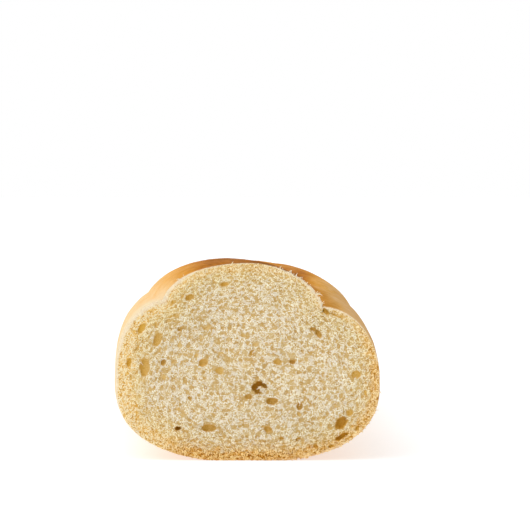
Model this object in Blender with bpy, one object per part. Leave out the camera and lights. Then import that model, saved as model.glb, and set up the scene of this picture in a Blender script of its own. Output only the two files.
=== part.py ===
"""Half of a soft white baguette, sawn straight across its middle.

The loaf lies along Y with its cut face towards -Y and its baked tip towards +Y, flat side down.
One closed solid holds the whole half: the rounded dough, the slashes that opened in the oven,
the sawn face and the air holes that show in it. Lengths are in metres and +Z is up.
"""

import math
import random
from collections import namedtuple

import bmesh
import bpy
from mathutils import Matrix, Vector, noise

# ---- driving dimensions ----------------------------------------------------------------------
WIDTH = 0.0724           # across the loaf at the cut
LENGTH = 0.260           # cut face to tip, half of a loaf of about 52 cm
CORE_HEIGHT = 0.0210     # height at which the loaf is widest
SKIN_RISE = 0.0275       # from there up to the unslashed skin
TRAY_PRESS = 0.0004      # of the round underside that the tray pressed flat
BELLY_DROP = CORE_HEIGHT + TRAY_PRESS

# ---- section: one superellipse above the widest line and one below it -------------------------
TOP_EXPONENT = 2.58      # squareness of the upper half
TOP_LEAN = 0.24          # how much squarer the left shoulder is than the right one
BELLY_EXPONENT = 2.42

# ---- along the loaf ----------------------------------------------------------------------------
WIDTH_TAPER = (5.2, 0.50)     # (power of the distance, power of the rest): how the tip narrows
HEIGHT_TAPER = (5.8, 0.52)    # the same for the height, which holds out a little longer
SWELL = 0.032                 # the loaf is this much fatter a little way behind the cut
SWELL_AT = 0.0395             # distance from the cut at which it is fattest
HEIGHT_FALL = 0.058           # share of its height that it loses steadily from the cut to the tip
TIP_LIFT = 0.0110             # height of the tip's point above the tray
TIP_LIFT_POWER = 15
BOW = -0.0020                 # how far its middle bends off a straight line, here to the left
LUMP_SIZE = 0.034             # wavelength of the hand-shaped unevenness
LUMP_DEPTH = 0.0007
LUMP_FREE_FACE = 0.020        # the section at the cut is free of lumps, which grow in over this

# ---- slashes -----------------------------------------------------------------------------------
# A slash runs from (start, start_deg) to (end, end_deg): distance from the cut, and angle round
# the loaf from its top, positive to the right. The dough opens into a leaf along that line.
Slash = namedtuple("Slash", "start end start_deg end_deg half_deg rise notch")
SLASHES = (
    Slash(start=-0.0947, end=0.0963, start_deg=28, end_deg=-29.5, half_deg=44.8, rise=0.0057, notch=0.00125),
    Slash(start=0.036, end=0.184, start_deg=49, end_deg=-22, half_deg=38, rise=0.0034, notch=0.0007),
    Slash(start=0.152, end=0.251, start_deg=38, end_deg=-16, half_deg=35, rise=0.0034, notch=0.0012),
)
LEAF_POWER = 0.62        # how blunt the ends of an opened slash are
DOME_POWER = 2.0         # the swollen crumb falls off from its crest with this power of the distance
DOME_LEAN = 1.0          # the crest leans to the left, so the left flank holds out longer
FLANK_LEAN = 0.35        # share of that lean which the left flank keeps away from the cut
GROOVE_POWER = 6         # how sharply the swollen crumb turns down into the groove beside it
GAPE = 1.4               # at the cut a notch gapes deeper, by this share of its own depth
GAPE_REACH = 0.020       # distance from the cut over which the gaping dies away
SOFT_SIDE = 0.8          # the left edge is a soft fold this deep at the cut, as a share of the notch
NOTCH_WIDTH = 0.0055     # over which the skin beside a notch rises back to its own height
FOLD_WIDTH = 0.0025      # the same beside the soft fold

# ---- mesh --------------------------------------------------------------------------------------
RING_POINTS = 80
RING_CROWDING = 0.36     # how much closer the points stand on top, where the slashes are
STATIONS = 52            # rings from the cut to the tip
STATION_CROWDING = 1.35  # above 1 they crowd towards the tip
TWIST = -1100            # degrees per metre that the rings turn, so the mesh runs along the slashes
RIM_ROUND = 0.0002       # the sawn edge is broken by this much
SHARP_ANGLE = 50         # degrees above which two faces are shaded as meeting at an edge

# ---- air holes of the sawn face ----------------------------------------------------------------
# The large ones, one by one: centre (x, z), half length, half width, tilt of the long side
# from X in degrees, and depth.
Hole = namedtuple("Hole", "x z long short tilt depth")
LARGE_HOLES = (
    Hole(0.0028, 0.0202, 0.0014, 0.0010, 20, 0.0030),
    Hole(0.0066, 0.0163, 0.0016, 0.0009, 0, 0.0020),
    Hole(0.0002, 0.0175, 0.0012, 0.0008, 0, 0.0012),
    Hole(-0.0107, 0.0089, 0.0018, 0.0009, 0, 0.0016),
    Hole(0.0257, 0.0104, 0.0019, 0.0012, 50, 0.0026),
    Hole(0.0258, 0.0066, 0.0018, 0.0005, 30, 0.0014),
    Hole(-0.0283, 0.0256, 0.0026, 0.0012, 84, 0.0022),
    Hole(-0.0247, 0.0332, 0.0019, 0.0010, 68, 0.0020),
    Hole(-0.0293, 0.0365, 0.0017, 0.0008, 58, 0.0018),
    Hole(-0.0326, 0.0269, 0.0013, 0.0007, 74, 0.0014),
    Hole(-0.0232, 0.0270, 0.0009, 0.0007, 60, 0.0012),
    Hole(0.0189, 0.0345, 0.0015, 0.0011, 30, 0.0022),
    Hole(0.0296, 0.0236, 0.0012, 0.0011, 0, 0.0013),
    Hole(0.0279, 0.0132, 0.0011, 0.0009, 10, 0.0012),
    Hole(0.0055, 0.0086, 0.0011, 0.0008, 0, 0.0012),
    Hole(-0.0192, 0.0088, 0.0009, 0.0006, 15, 0.0014),
    Hole(-0.0077, 0.0247, 0.0012, 0.0012, 0, 0.0011),
    Hole(-0.0123, 0.0269, 0.0011, 0.0009, 30, 0.0012),
    Hole(0.0082, 0.0271, 0.0012, 0.0008, 0, 0.0013),
    Hole(0.0123, 0.0271, 0.0008, 0.0007, 0, 0.0012),
    Hole(-0.0115, 0.0365, 0.0012, 0.0008, 10, 0.0011),
    Hole(-0.0159, 0.0448, 0.0013, 0.0007, 20, 0.0013),
    Hole(-0.0063, 0.0484, 0.0012, 0.0006, 8, 0.0012),
    Hole(0.0142, 0.0149, 0.0010, 0.0008, 70, 0.0012),
    Hole(0.0240, 0.0396, 0.0028, 0.0004, -28, 0.0014),
)
SMALL_HOLES = 34
SMALL_HALF = (0.0006, 0.0010)    # half length, smallest and largest
SMALL_FLAT = (0.60, 0.95)        # half width as a share of the half length
SMALL_DEPTH = 1.1                # depth as a share of the half length
SMALL_GAP = 0.0007               # of solid crumb between two holes
HOLE_EDGE_GAP = 0.0030           # small holes keep this far from the crust
HOLE_TRIES = 5000                # places tried before the face counts as full
HOLE_SEED = 11
HOLE_SIDES = 1                   # subdivisions of the ball that cuts a hole

# ---- colours -----------------------------------------------------------------------------------
CRUST_COLOUR = (0.66, 0.36, 0.13, 1.0)
CRUST_ROUGHNESS = 0.5
CRUMB_COLOUR = (0.74, 0.58, 0.34, 1.0)
CRUMB_ROUGHNESS = 0.9


def clear_scene():
    for item in list(bpy.data.objects):
        bpy.data.objects.remove(item, do_unlink=True)


def bread_material(name, colour, roughness):
    material = bpy.data.materials.new(name)
    material.use_nodes = True
    shader = material.node_tree.nodes["Principled BSDF"]
    shader.inputs["Base Color"].default_value = colour
    shader.inputs["Roughness"].default_value = roughness
    return material


def smooth_step(value):
    value = min(max(value, 0.0), 1.0)
    return value * value * (3.0 - 2.0 * value)


def taper(distance, powers):
    """Share of the full size that is left at this distance from the cut, 0 at the tip."""
    share = min(distance / LENGTH, 1.0)
    return (1.0 - share ** powers[0]) ** powers[1]


def swell(distance):
    """The loaf fattens behind the cut and slims again: 1 at the cut, 1 + SWELL at SWELL_AT."""
    reach = distance / SWELL_AT
    return 1.0 + SWELL * reach * math.exp(1.0 - reach)


def height_share(distance):
    """Height of the section at this distance, as a share of its height at the cut."""
    fall = 1.0 - HEIGHT_FALL * distance / LENGTH
    return fall * taper(distance, HEIGHT_TAPER) * swell(distance)


def superellipse_radius(angle, half_width, half_height, exponent):
    across = abs(math.sin(angle) / half_width) ** exponent
    up = abs(math.cos(angle) / half_height) ** exponent
    return (across + up) ** (-1.0 / exponent)


def skin_radius(angle, distance):
    """Distance from the loaf's core line to its unslashed skin."""
    half_width = 0.5 * WIDTH * taper(distance, WIDTH_TAPER) * swell(distance)
    high = height_share(distance)
    if math.cos(angle) >= 0.0:
        exponent = TOP_EXPONENT - TOP_LEAN * math.sin(angle)
        return superellipse_radius(angle, half_width, SKIN_RISE * high, exponent)
    return superellipse_radius(angle, half_width, BELLY_DROP * high, BELLY_EXPONENT)


def gape(distance):
    """How much the slashes gape: 1 at the cut, where the dough pulled apart, and 0 further back."""
    return math.exp(-(distance / GAPE_REACH) ** 2)


def slash_offset(slash, angle, distance, radius):
    """How far an opened slash lifts or sinks the skin at this place."""
    share = (distance - slash.start) / (slash.end - slash.start)
    if not 0.0 < share < 1.0:
        return 0.0
    opened = math.sin(math.pi * share) ** LEAF_POWER
    half = math.radians(slash.half_deg) * opened
    centre = math.radians(slash.start_deg + (slash.end_deg - slash.start_deg) * share)
    reach = (angle - centre) / half
    if reach > 0.0:
        depth = slash.notch * (1.0 + GAPE * gape(distance))
        lean = DOME_LEAN
    else:
        depth = slash.notch * SOFT_SIDE * gape(distance)
        lean = DOME_LEAN * (FLANK_LEAN + (1.0 - FLANK_LEAN) * gape(distance))
    if abs(reach) < 1.0:
        fall = abs(reach) ** (DOME_POWER - lean * reach)
        return opened * (slash.rise * (1.0 - fall) - depth * abs(reach) ** GROOVE_POWER)
    width = NOTCH_WIDTH if reach > 0.0 else FOLD_WIDTH
    away = (abs(reach) - 1.0) * half * radius
    return -opened * depth * math.exp(-away / width)


def core_point(distance):
    """The point inside the loaf that a ring's points are measured from."""
    share = distance / LENGTH
    height = CORE_HEIGHT * height_share(distance) + TIP_LIFT * share ** TIP_LIFT_POWER
    return Vector((BOW * math.sin(math.pi * share), distance, height))


def surface_point(angle, distance):
    """The loaf's surface, angle measured from the top and positive to the right."""
    angle = math.remainder(angle, 2.0 * math.pi)
    radius = skin_radius(angle, distance)
    full = taper(distance, WIDTH_TAPER)
    radius += full * sum(slash_offset(s, angle, distance, radius) for s in SLASHES)
    core = core_point(distance)
    outward = Vector((math.sin(angle), 0.0, math.cos(angle)))
    lump = noise.noise((core + outward * radius) / LUMP_SIZE)
    radius += LUMP_DEPTH * full * smooth_step(distance / LUMP_FREE_FACE) * lump
    point = core + outward * max(radius, 0.0)
    point.z = max(point.z, 0.0)
    return point


def ring_angles(distance):
    """Angles of a ring's points, crowded round the top wherever the ring starts."""
    for index in range(RING_POINTS):
        turn = 2.0 * math.pi * index / RING_POINTS + math.radians(TWIST * distance)
        yield turn - RING_CROWDING * math.sin(turn)


def station_distances():
    """The sawn edge itself, then the rings behind it, which crowd towards the tip."""
    yield 0.0
    for index in range(STATIONS):
        left = (1.0 - index / STATIONS) ** STATION_CROWDING
        yield RIM_ROUND * left + LENGTH * (1.0 - left)


def make_loaf(materials):
    """Lofts the rings from the cut face to the tip and closes both ends."""
    mesh = bmesh.new()
    rings = []
    for distance in station_distances():
        rings.append([mesh.verts.new(surface_point(a, distance)) for a in ring_angles(distance)])
    rim_centre = core_point(0.0)
    for vert in rings[0]:
        vert.co -= (vert.co - rim_centre).normalized() * RIM_ROUND
    for near, far in zip(rings, rings[1:]):
        for here, there in zip(range(RING_POINTS), list(range(1, RING_POINTS)) + [0]):
            mesh.faces.new((near[here], far[here], far[there], near[there]))
    tip = mesh.verts.new(core_point(LENGTH))
    last = rings[-1]
    for here, there in zip(last, last[1:] + last[:1]):
        mesh.faces.new((here, tip, there))
    sawn_face = mesh.faces.new(rings[0])
    sawn_face.material_index = 1
    bmesh.ops.recalc_face_normals(mesh, faces=mesh.faces)
    data = bpy.data.meshes.new("loaf")
    mesh.to_mesh(data)
    mesh.free()
    for material in materials:
        data.materials.append(material)
    data.shade_smooth()
    data.set_sharp_from_angle(angle=math.radians(SHARP_ANGLE))
    loaf = bpy.data.objects.new("loaf", data)
    bpy.context.scene.collection.objects.link(loaf)
    return loaf


def scattered_holes(draw):
    """Small holes between the large ones, none touching another or the crust."""
    holes = list(LARGE_HOLES)
    core = core_point(0.0)
    tries = 0
    while len(holes) < len(LARGE_HOLES) + SMALL_HOLES and tries < HOLE_TRIES:
        tries += 1
        angle = draw.uniform(-math.pi, math.pi)
        limit = (surface_point(angle, 0.0) - core).length - HOLE_EDGE_GAP
        away = limit * math.sqrt(draw.random())
        x = core.x + away * math.sin(angle)
        z = core.z + away * math.cos(angle)
        half = draw.uniform(*SMALL_HALF)
        clear = (math.hypot(x - h.x, z - h.z) > half + h.long + SMALL_GAP for h in holes)
        if all(clear):
            tilt = draw.uniform(0.0, 180.0)
            holes.append(Hole(x, z, half, half * draw.uniform(*SMALL_FLAT), tilt, half * SMALL_DEPTH))
    return holes


def make_hole_cutter(hole, index, collection):
    """A low ball stretched to the hole's size, half of it in front of the sawn face."""
    mesh = bmesh.new()
    bmesh.ops.create_icosphere(mesh, subdivisions=HOLE_SIDES, radius=1.0)
    size = Matrix.Diagonal((hole.long, hole.depth, hole.short, 1.0))
    turned = Matrix.Rotation(-math.radians(hole.tilt), 4, "Y") @ size
    placed = Matrix.Translation((hole.x, 0.0, hole.z)) @ turned
    bmesh.ops.transform(mesh, matrix=placed, verts=mesh.verts)
    data = bpy.data.meshes.new(f"hole_cutter_{index}")
    mesh.to_mesh(data)
    mesh.free()
    cutter = bpy.data.objects.new(data.name, data)
    cutter.hide_render = True
    cutter.display_type = "WIRE"
    collection.objects.link(cutter)


def cut_holes(loaf):
    """One Boolean takes all the air holes out of the sawn face; the cutters are then removed."""
    cutters = bpy.data.collections.new("hole_cutters")
    bpy.context.scene.collection.children.link(cutters)
    for index, hole in enumerate(scattered_holes(random.Random(HOLE_SEED))):
        make_hole_cutter(hole, index, cutters)
    cut = loaf.modifiers.new("air_holes", "BOOLEAN")
    cut.operation = "DIFFERENCE"
    cut.operand_type = "COLLECTION"
    cut.collection = cutters
    cut.solver = "EXACT"
    with bpy.context.temp_override(object=loaf, active_object=loaf):
        bpy.ops.object.modifier_apply(modifier=cut.name)
    for cutter in list(cutters.objects):
        bpy.data.objects.remove(cutter, do_unlink=True)
    bpy.data.collections.remove(cutters)


def centre_on_base(loaf):
    """Moves the solid so that the origin is the middle of its box, on the tray."""
    low = [min(v.co[i] for v in loaf.data.vertices) for i in range(3)]
    high = [max(v.co[i] for v in loaf.data.vertices) for i in range(3)]
    middle = Vector(((low[0] + high[0]) / 2, (low[1] + high[1]) / 2, low[2]))
    loaf.data.transform(Matrix.Translation(-middle))


def main():
    clear_scene()
    crust = bread_material("crust", CRUST_COLOUR, CRUST_ROUGHNESS)
    crumb = bread_material("crumb", CRUMB_COLOUR, CRUMB_ROUGHNESS)
    loaf = make_loaf((crust, crumb))
    cut_holes(loaf)
    centre_on_base(loaf)


main()
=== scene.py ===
# %% [markdown]
# # Half a soft white baguette
# The part is one half of a soft white loaf, sawn across. Two surfaces matter: the thin golden crust
# with its opened slashes, and the sawn face with its fine open crumb. The frame that is loaded
# below holds the plain solid of the loaf. Everything after it is made to lie on that solid.

# %% Load the fixed frame
import math
from collections import namedtuple

import bpy
import numpy as np
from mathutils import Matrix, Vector, noise


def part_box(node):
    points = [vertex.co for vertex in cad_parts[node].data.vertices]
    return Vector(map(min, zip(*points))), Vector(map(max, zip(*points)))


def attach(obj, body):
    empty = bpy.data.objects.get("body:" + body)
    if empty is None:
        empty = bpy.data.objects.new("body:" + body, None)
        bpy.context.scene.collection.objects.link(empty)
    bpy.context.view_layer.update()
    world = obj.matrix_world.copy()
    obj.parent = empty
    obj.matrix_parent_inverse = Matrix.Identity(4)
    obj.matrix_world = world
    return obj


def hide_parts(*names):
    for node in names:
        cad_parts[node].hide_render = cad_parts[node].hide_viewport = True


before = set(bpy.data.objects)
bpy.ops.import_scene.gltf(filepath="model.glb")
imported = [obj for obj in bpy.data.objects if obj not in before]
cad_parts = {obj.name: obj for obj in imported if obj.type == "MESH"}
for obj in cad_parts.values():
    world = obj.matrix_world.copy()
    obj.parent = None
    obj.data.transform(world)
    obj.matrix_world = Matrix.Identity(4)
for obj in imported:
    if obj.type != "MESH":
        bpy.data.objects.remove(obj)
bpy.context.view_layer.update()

MM = 0.001
loaf_low, loaf_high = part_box("loaf")
FACE_Y = loaf_low.y
print("loaf", [round(v / MM, 1) for v in loaf_high - loaf_low], "mm")

# %% [markdown]
# ## The loaf's form
# A hand-shaped loaf is close to a rule: a rounded section that tapers at the tip, and a few leaves
# where the slashes opened. It could be sculpted, but the same formulas made the solid, so a loaf
# worked out from them follows it exactly, only with many more points. Arrays are used in place of
# single numbers, because numpy then works out all the points of the skin at once.

# %% The section and how it changes along the loaf
WIDTH = 0.0724           # across the loaf at the cut
LENGTH = 0.260           # cut face to tip
CORE_HEIGHT = 0.0210     # height at which the loaf is widest
SKIN_RISE = 0.0275       # from there up to the unslashed skin
BELLY_DROP = 0.0214      # and down to the underside
TOP_EXPONENT = 2.58      # squareness of the upper half
TOP_LEAN = 0.24          # how much squarer the left shoulder is than the right one
BELLY_EXPONENT = 2.42
WIDTH_TAPER = (5.2, 0.50)     # (power of the distance, power of the rest): how the tip narrows
HEIGHT_TAPER = (5.8, 0.52)    # the same for the height, which holds out a little longer
SWELL = 0.032            # the loaf is this much fatter a little way behind the cut
SWELL_AT = 0.0395        # distance from the cut at which it is fattest
HEIGHT_FALL = 0.058      # share of its height that it loses steadily from the cut to the tip
TIP_LIFT = 0.0110        # height of the tip's point above the tray
TIP_LIFT_POWER = 15
BOW = -0.0020            # how far its middle bends off a straight line, here to the left
LUMP_SIZE = 0.034        # wavelength of the hand-shaped unevenness
LUMP_DEPTH = 0.0007
LUMP_FREE_FACE = 0.020   # the section at the cut is free of lumps, which grow in over this
NEARLY_NOTHING = 1e-6    # keeps a division safe at the very tip


def smooth_step(value):
    value = np.clip(value, 0.0, 1.0)
    return value * value * (3.0 - 2.0 * value)


def taper(distance, powers):
    share = np.clip(distance / LENGTH, 0.0, 1.0)
    return (1.0 - share ** powers[0]) ** powers[1]


def swell(distance):
    reach = distance / SWELL_AT
    return 1.0 + SWELL * reach * np.exp(1.0 - reach)


def height_share(distance):
    fall = 1.0 - HEIGHT_FALL * distance / LENGTH
    return fall * taper(distance, HEIGHT_TAPER) * swell(distance)


def superellipse(angle, half_width, half_height, exponent):
    across = np.abs(np.sin(angle) / half_width) ** exponent
    up = np.abs(np.cos(angle) / half_height) ** exponent
    return (across + up) ** (-1.0 / exponent)


def skin_radius(angle, distance):
    """From the core line out to the unslashed skin, at an angle from the top, + to the right."""
    wide = np.maximum(taper(distance, WIDTH_TAPER), NEARLY_NOTHING) * swell(distance)
    high = np.maximum(height_share(distance), NEARLY_NOTHING)
    exponent = TOP_EXPONENT - TOP_LEAN * np.sin(angle)
    top = superellipse(angle, 0.5 * WIDTH * wide, SKIN_RISE * high, exponent)
    belly = superellipse(angle, 0.5 * WIDTH * wide, BELLY_DROP * high, BELLY_EXPONENT)
    return np.where(np.cos(angle) >= 0.0, top, belly)


# %% The opened slashes
# A slash runs from (start, start_deg) to (end, end_deg): distance from the cut, and angle from the
# top. The dough opens into a leaf along that line, with a notch beside it.
Slash = namedtuple("Slash", "start end start_deg end_deg half_deg rise notch")
SLASHES = (
    Slash(start=-0.0947, end=0.0963, start_deg=28, end_deg=-29.5, half_deg=44.8, rise=0.0057, notch=0.00125),
    Slash(start=0.036, end=0.184, start_deg=49, end_deg=-22, half_deg=38, rise=0.0034, notch=0.0007),
    Slash(start=0.152, end=0.251, start_deg=38, end_deg=-16, half_deg=35, rise=0.0034, notch=0.0012),
)
LEAF_POWER = 0.62        # how blunt the ends of an opened slash are
DOME_POWER = 2.0         # the swollen dough falls off from its crest with this power of the distance
DOME_LEAN = 1.0          # the crest leans to the left, so the left flank holds out longer
FLANK_LEAN = 0.35        # share of that lean which the left flank keeps away from the cut
GROOVE_POWER = 6         # how sharply the swollen dough turns down into the groove beside it
GAPE = 1.4               # at the cut a notch gapes deeper, by this share of its own depth
GAPE_REACH = 0.020       # distance from the cut over which the gaping dies away
SOFT_SIDE = 0.8          # the left edge is a soft fold this deep at the cut, as a share of the notch
NOTCH_WIDTH = 0.0055     # over which the skin beside a notch rises back to its own height
FOLD_WIDTH = 0.0025      # the same beside the soft fold


def slash_at(slash, angle, distance, radius):
    """Lift of the skin, place across the leaf (-1 to 1 inside it) and how far it is open here."""
    share = (distance - slash.start) / (slash.end - slash.start)
    inside = (share > 0.0) & (share < 1.0)
    share = np.clip(share, NEARLY_NOTHING, 1.0 - NEARLY_NOTHING)
    opened = np.sin(math.pi * share) ** LEAF_POWER
    half = math.radians(slash.half_deg) * opened
    centre = np.radians(slash.start_deg + (slash.end_deg - slash.start_deg) * share)
    across = (angle - centre) / half
    reach = np.abs(across)
    gape = np.exp(-(distance / GAPE_REACH) ** 2)
    depth = slash.notch * np.where(across > 0.0, 1.0 + GAPE * gape, SOFT_SIDE * gape)
    lean = DOME_LEAN * np.where(across > 0.0, 1.0, FLANK_LEAN + (1.0 - FLANK_LEAN) * gape)
    fall = np.minimum(reach, 1.0) ** (DOME_POWER - lean * np.clip(across, -1.0, 1.0))
    dome = slash.rise * (1.0 - fall) - depth * np.minimum(reach, 1.0) ** GROOVE_POWER
    width = np.where(across > 0.0, NOTCH_WIDTH, FOLD_WIDTH)
    beside = -depth * np.exp(-np.maximum(reach - 1.0, 0.0) * half * radius / width)
    lift = opened * np.where(reach < 1.0, dome, beside)
    return np.where(inside, lift, 0.0), across, np.where(inside, opened, 0.0)


print("slashes", len(SLASHES), "of them", sum(slash.start < 0.0 for slash in SLASHES), "sawn through")

# %% A point of the surface for every angle and distance
def core_points(distance):
    """The line inside the loaf that its rings are drawn round."""
    share = distance / LENGTH
    height = CORE_HEIGHT * height_share(distance) + TIP_LIFT * share ** TIP_LIFT_POWER
    return np.stack((BOW * np.sin(math.pi * share), distance, height), axis=-1)


def lumps(points):
    flat = [noise.noise(Vector(p) / LUMP_SIZE) for p in points.reshape(-1, 3)]
    return np.array(flat).reshape(points.shape[:-1])


def half_turn(angle):
    """The same angle between -180 and 180 degrees."""
    return np.remainder(angle + math.pi, 2.0 * math.pi) - math.pi


def surface_points(angle, distance):
    angle = half_turn(angle)
    radius = skin_radius(angle, distance)
    full = taper(distance, WIDTH_TAPER)
    radius = radius + full * sum(slash_at(s, angle, distance, radius)[0] for s in SLASHES)
    core = core_points(distance)
    outward = np.stack((np.sin(angle), np.zeros_like(angle), np.cos(angle)), axis=-1)
    lump = lumps(core + outward * radius[..., None])
    radius = radius + LUMP_DEPTH * full * smooth_step(distance / LUMP_FREE_FACE) * lump
    points = core + outward * np.maximum(radius, 0.0)[..., None]
    points[..., 2] = np.maximum(points[..., 2], 0.0)
    return points


top = surface_points(np.array([0.0]), np.array([0.0]))[0]
print("height of the sawn face", round(top[2] / MM, 1), "mm")

# %% [markdown]
# ## Helpers for node trees
# The pieces get their relief from Geometry Nodes and their colour from shader nodes. A tree that
# is written in a script is a long list of links, so small helpers keep each step on one line: add
# a node, do one piece of arithmetic, or fade smoothly between two values. Most of these nodes
# exist in both kinds of tree, so one helper serves relief and colour alike.

# %% Nodes and arithmetic
def feed(tree, socket, value):
    """Links an output socket, or sets a plain value."""
    if isinstance(value, bpy.types.NodeSocket):
        tree.links.new(value, socket)
    else:
        socket.default_value = value


def add_node(tree, kind, inputs=(), **settings):
    made = tree.nodes.new(kind)
    for name, value in settings.items():
        setattr(made, name, value)
    for name, value in dict(inputs).items():
        feed(tree, next(s for s in made.inputs if s.name == name and s.enabled), value)
    return made


def calc(tree, operation, *values):
    made = add_node(tree, "ShaderNodeMath", operation=operation)
    for socket, value in zip(made.inputs, values):
        feed(tree, socket, value)
    return made.outputs[0]


def times(tree, first, *others):
    for other in others:
        first = calc(tree, "MULTIPLY", first, other)
    return first


def largest(tree, first, *others):
    for other in others:
        first = calc(tree, "MAXIMUM", first, other)
    return first


def vector_calc(tree, operation, first, second):
    made = add_node(tree, "ShaderNodeVectorMath", operation=operation)
    feed(tree, made.inputs[0], first)
    feed(tree, made.inputs["Scale"] if operation == "SCALE" else made.inputs[1], second)
    return made.outputs["Vector"]


def parts_of(tree, vector):
    made = add_node(tree, "ShaderNodeSeparateXYZ", {"Vector": vector})
    return made.outputs["X"], made.outputs["Y"], made.outputs["Z"]


def joined(tree, x=0.0, y=0.0, z=0.0):
    return add_node(tree, "ShaderNodeCombineXYZ", {"X": x, "Y": y, "Z": z}).outputs[0]


def fade(tree, value, start, end, low=0.0, high=1.0):
    """Runs smoothly from low at start to high at end. A named tuple of numbers holds these four,
    or only start and end, wherever *NAME stands in a call."""
    inputs = {"Value": value, "From Min": start, "From Max": end, "To Min": low, "To Max": high}
    made = add_node(tree, "ShaderNodeMapRange", inputs, interpolation_type="SMOOTHSTEP")
    return made.outputs["Result"]


# %% Clouds and colours
def clouds(tree, place, size, detail=2.0, roughness=0.5, output="Fac"):
    """Cloudy values around 0.5, with features of the given size in metres, a number or a socket."""
    scale = 1.0 / size if isinstance(size, float) else calc(tree, "DIVIDE", 1.0, size)
    inputs = {"Vector": place, "Scale": scale, "Detail": detail, "Roughness": roughness}
    made = add_node(tree, "ShaderNodeTexNoise", inputs)
    return next(s for s in made.outputs if s.name == output)


def swing(tree, place, size, detail=2.0, roughness=0.6):
    """The same clouds, but around 0, to make a value vary to both sides."""
    return calc(tree, "SUBTRACT", clouds(tree, place, size, detail, roughness), 0.5)


def stirred(tree, place, amount, size, detail=3.0, roughness=0.6):
    """A place that is moved about in all directions by clouds of the given size."""
    stir = clouds(tree, place, size, detail, roughness, "Color")
    stir = vector_calc(tree, "SCALE", vector_calc(tree, "SUBTRACT", stir, (0.5, 0.5, 0.5)), amount)
    return vector_calc(tree, "ADD", place, stir)


def blend_colour(tree, factor, first, second):
    made = add_node(tree, "ShaderNodeMix", data_type="RGBA")
    for index, value in ((0, factor), (6, first), (7, second)):
        feed(tree, made.inputs[index], value)
    return made.outputs[2]


def ramp(tree, factor, stops):
    """Colours that follow each other smoothly along the factor: (place, colour) pairs."""
    made = add_node(tree, "ShaderNodeValToRGB", {"Fac": factor})
    points = made.color_ramp.elements
    while len(points) < len(stops):
        points.new(0.5)
    for point, (place, shade) in zip(points, stops):
        point.position = place
        point.color = shade
    return made.outputs["Color"]


# %% Trees and their inputs
FLOAT, INT, VECTOR, COLOUR, GEOMETRY, MATERIAL, OBJECT = (
    f"NodeSocket{kind}" for kind in ("Float", "Int", "Vector", "Color", "Geometry", "Material", "Object"))


def new_tree(name, kind, inputs, outputs):
    """A node group with named inputs, label: (socket type, value), and named outputs."""
    tree = bpy.data.node_groups.new(name, kind)
    for label, (socket_type, value) in inputs.items():
        socket = tree.interface.new_socket(label, in_out="INPUT", socket_type=socket_type)
        if value is not None:
            socket.default_value = value
    for label, socket_type in outputs.items():
        tree.interface.new_socket(label, in_out="OUTPUT", socket_type=socket_type)
    print("tree", name, "takes", ", ".join(inputs))
    return tree, tree.nodes.new("NodeGroupInput").outputs, tree.nodes.new("NodeGroupOutput").inputs


def geometry_tree(name, sizes):
    inputs = {"Geometry": (GEOMETRY, None), "Material": (MATERIAL, None)} | sizes
    return new_tree(name, "GeometryNodeTree", inputs, {"Geometry": GEOMETRY})


def finish_tree(tree, end, geometry, material):
    """Every tree ends the same way: real geometry, with its material."""
    real = add_node(tree, "GeometryNodeRealizeInstances", {"Geometry": geometry})
    inputs = {"Geometry": real.outputs[0], "Material": material}
    painted = add_node(tree, "GeometryNodeSetMaterial", inputs)
    tree.links.new(painted.outputs[0], end["Geometry"])
    print("tree", tree.name, "has", len(tree.nodes), "nodes")


def run_tree(piece, tree, values):
    """Runs the tree on the piece, with inputs set by identifier, and keeps the plain mesh."""
    modifier = piece.modifiers.new(tree.name, "NODES")
    modifier.node_group = tree
    sockets = {s.name: s.identifier for s in tree.interface.items_tree if s.in_out == "INPUT"}
    for label, value in values.items():
        modifier[sockets[label]] = value
    depsgraph = bpy.context.evaluated_depsgraph_get()
    depsgraph.update()
    made = bpy.data.meshes.new_from_object(
        piece.evaluated_get(depsgraph), preserve_all_data_layers=True, depsgraph=depsgraph)
    piece.modifiers.remove(modifier)
    old = piece.data
    piece.data = made
    bpy.data.meshes.remove(old)
    made.name = piece.name
    print(piece.name, sum(len(p.vertices) - 2 for p in made.polygons), "triangles")


# %% Places, objects and fields, which are named numbers that the points of a piece carry
def position_in(tree):
    return add_node(tree, "GeometryNodeInputPosition").outputs[0]


def geometry_of(tree, other):
    """The geometry of another object that is given as an input."""
    return add_node(tree, "GeometryNodeObjectInfo", {"Object": other}).outputs["Geometry"]


def named_field(tree, name, kind="FLOAT"):
    made = add_node(tree, "GeometryNodeInputNamedAttribute", {"Name": name}, data_type=kind)
    return made.outputs["Attribute"]


def keep_field(tree, geometry, name, value, kind="FLOAT"):
    inputs = {"Geometry": geometry, "Name": name, "Value": value}
    made = add_node(tree, "GeometryNodeStoreNamedAttribute", inputs, data_type=kind, domain="POINT")
    return made.outputs[0]


def surface_field(tree, name):
    """The same field, read by a material."""
    made = add_node(tree, "ShaderNodeAttribute", attribute_name=name, attribute_type="GEOMETRY")
    return made.outputs["Fac"]


def store_field(piece, name, values):
    field = piece.data.attributes.new(name, "FLOAT", "POINT")
    field.data.foreach_set("value", np.asarray(values, np.float32))


# %% Mesh helpers
def tube_faces(rows, columns):
    """Quads of a closed tube whose points are numbered ring by ring."""
    here = np.arange(rows - 1)[:, None] * columns + np.arange(columns)
    beside = np.roll(here, -1, axis=1)
    return np.stack((here, here + columns, beside + columns, beside), axis=-1).reshape(-1, 4)


def piece_from(name, points, faces):
    mesh = bpy.data.meshes.new(name)
    mesh.from_pydata(points, [], faces)
    mesh.validate()
    mesh.shade_smooth()
    piece = bpy.data.objects.new(name, mesh)
    bpy.context.scene.collection.objects.link(piece)
    return piece


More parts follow.
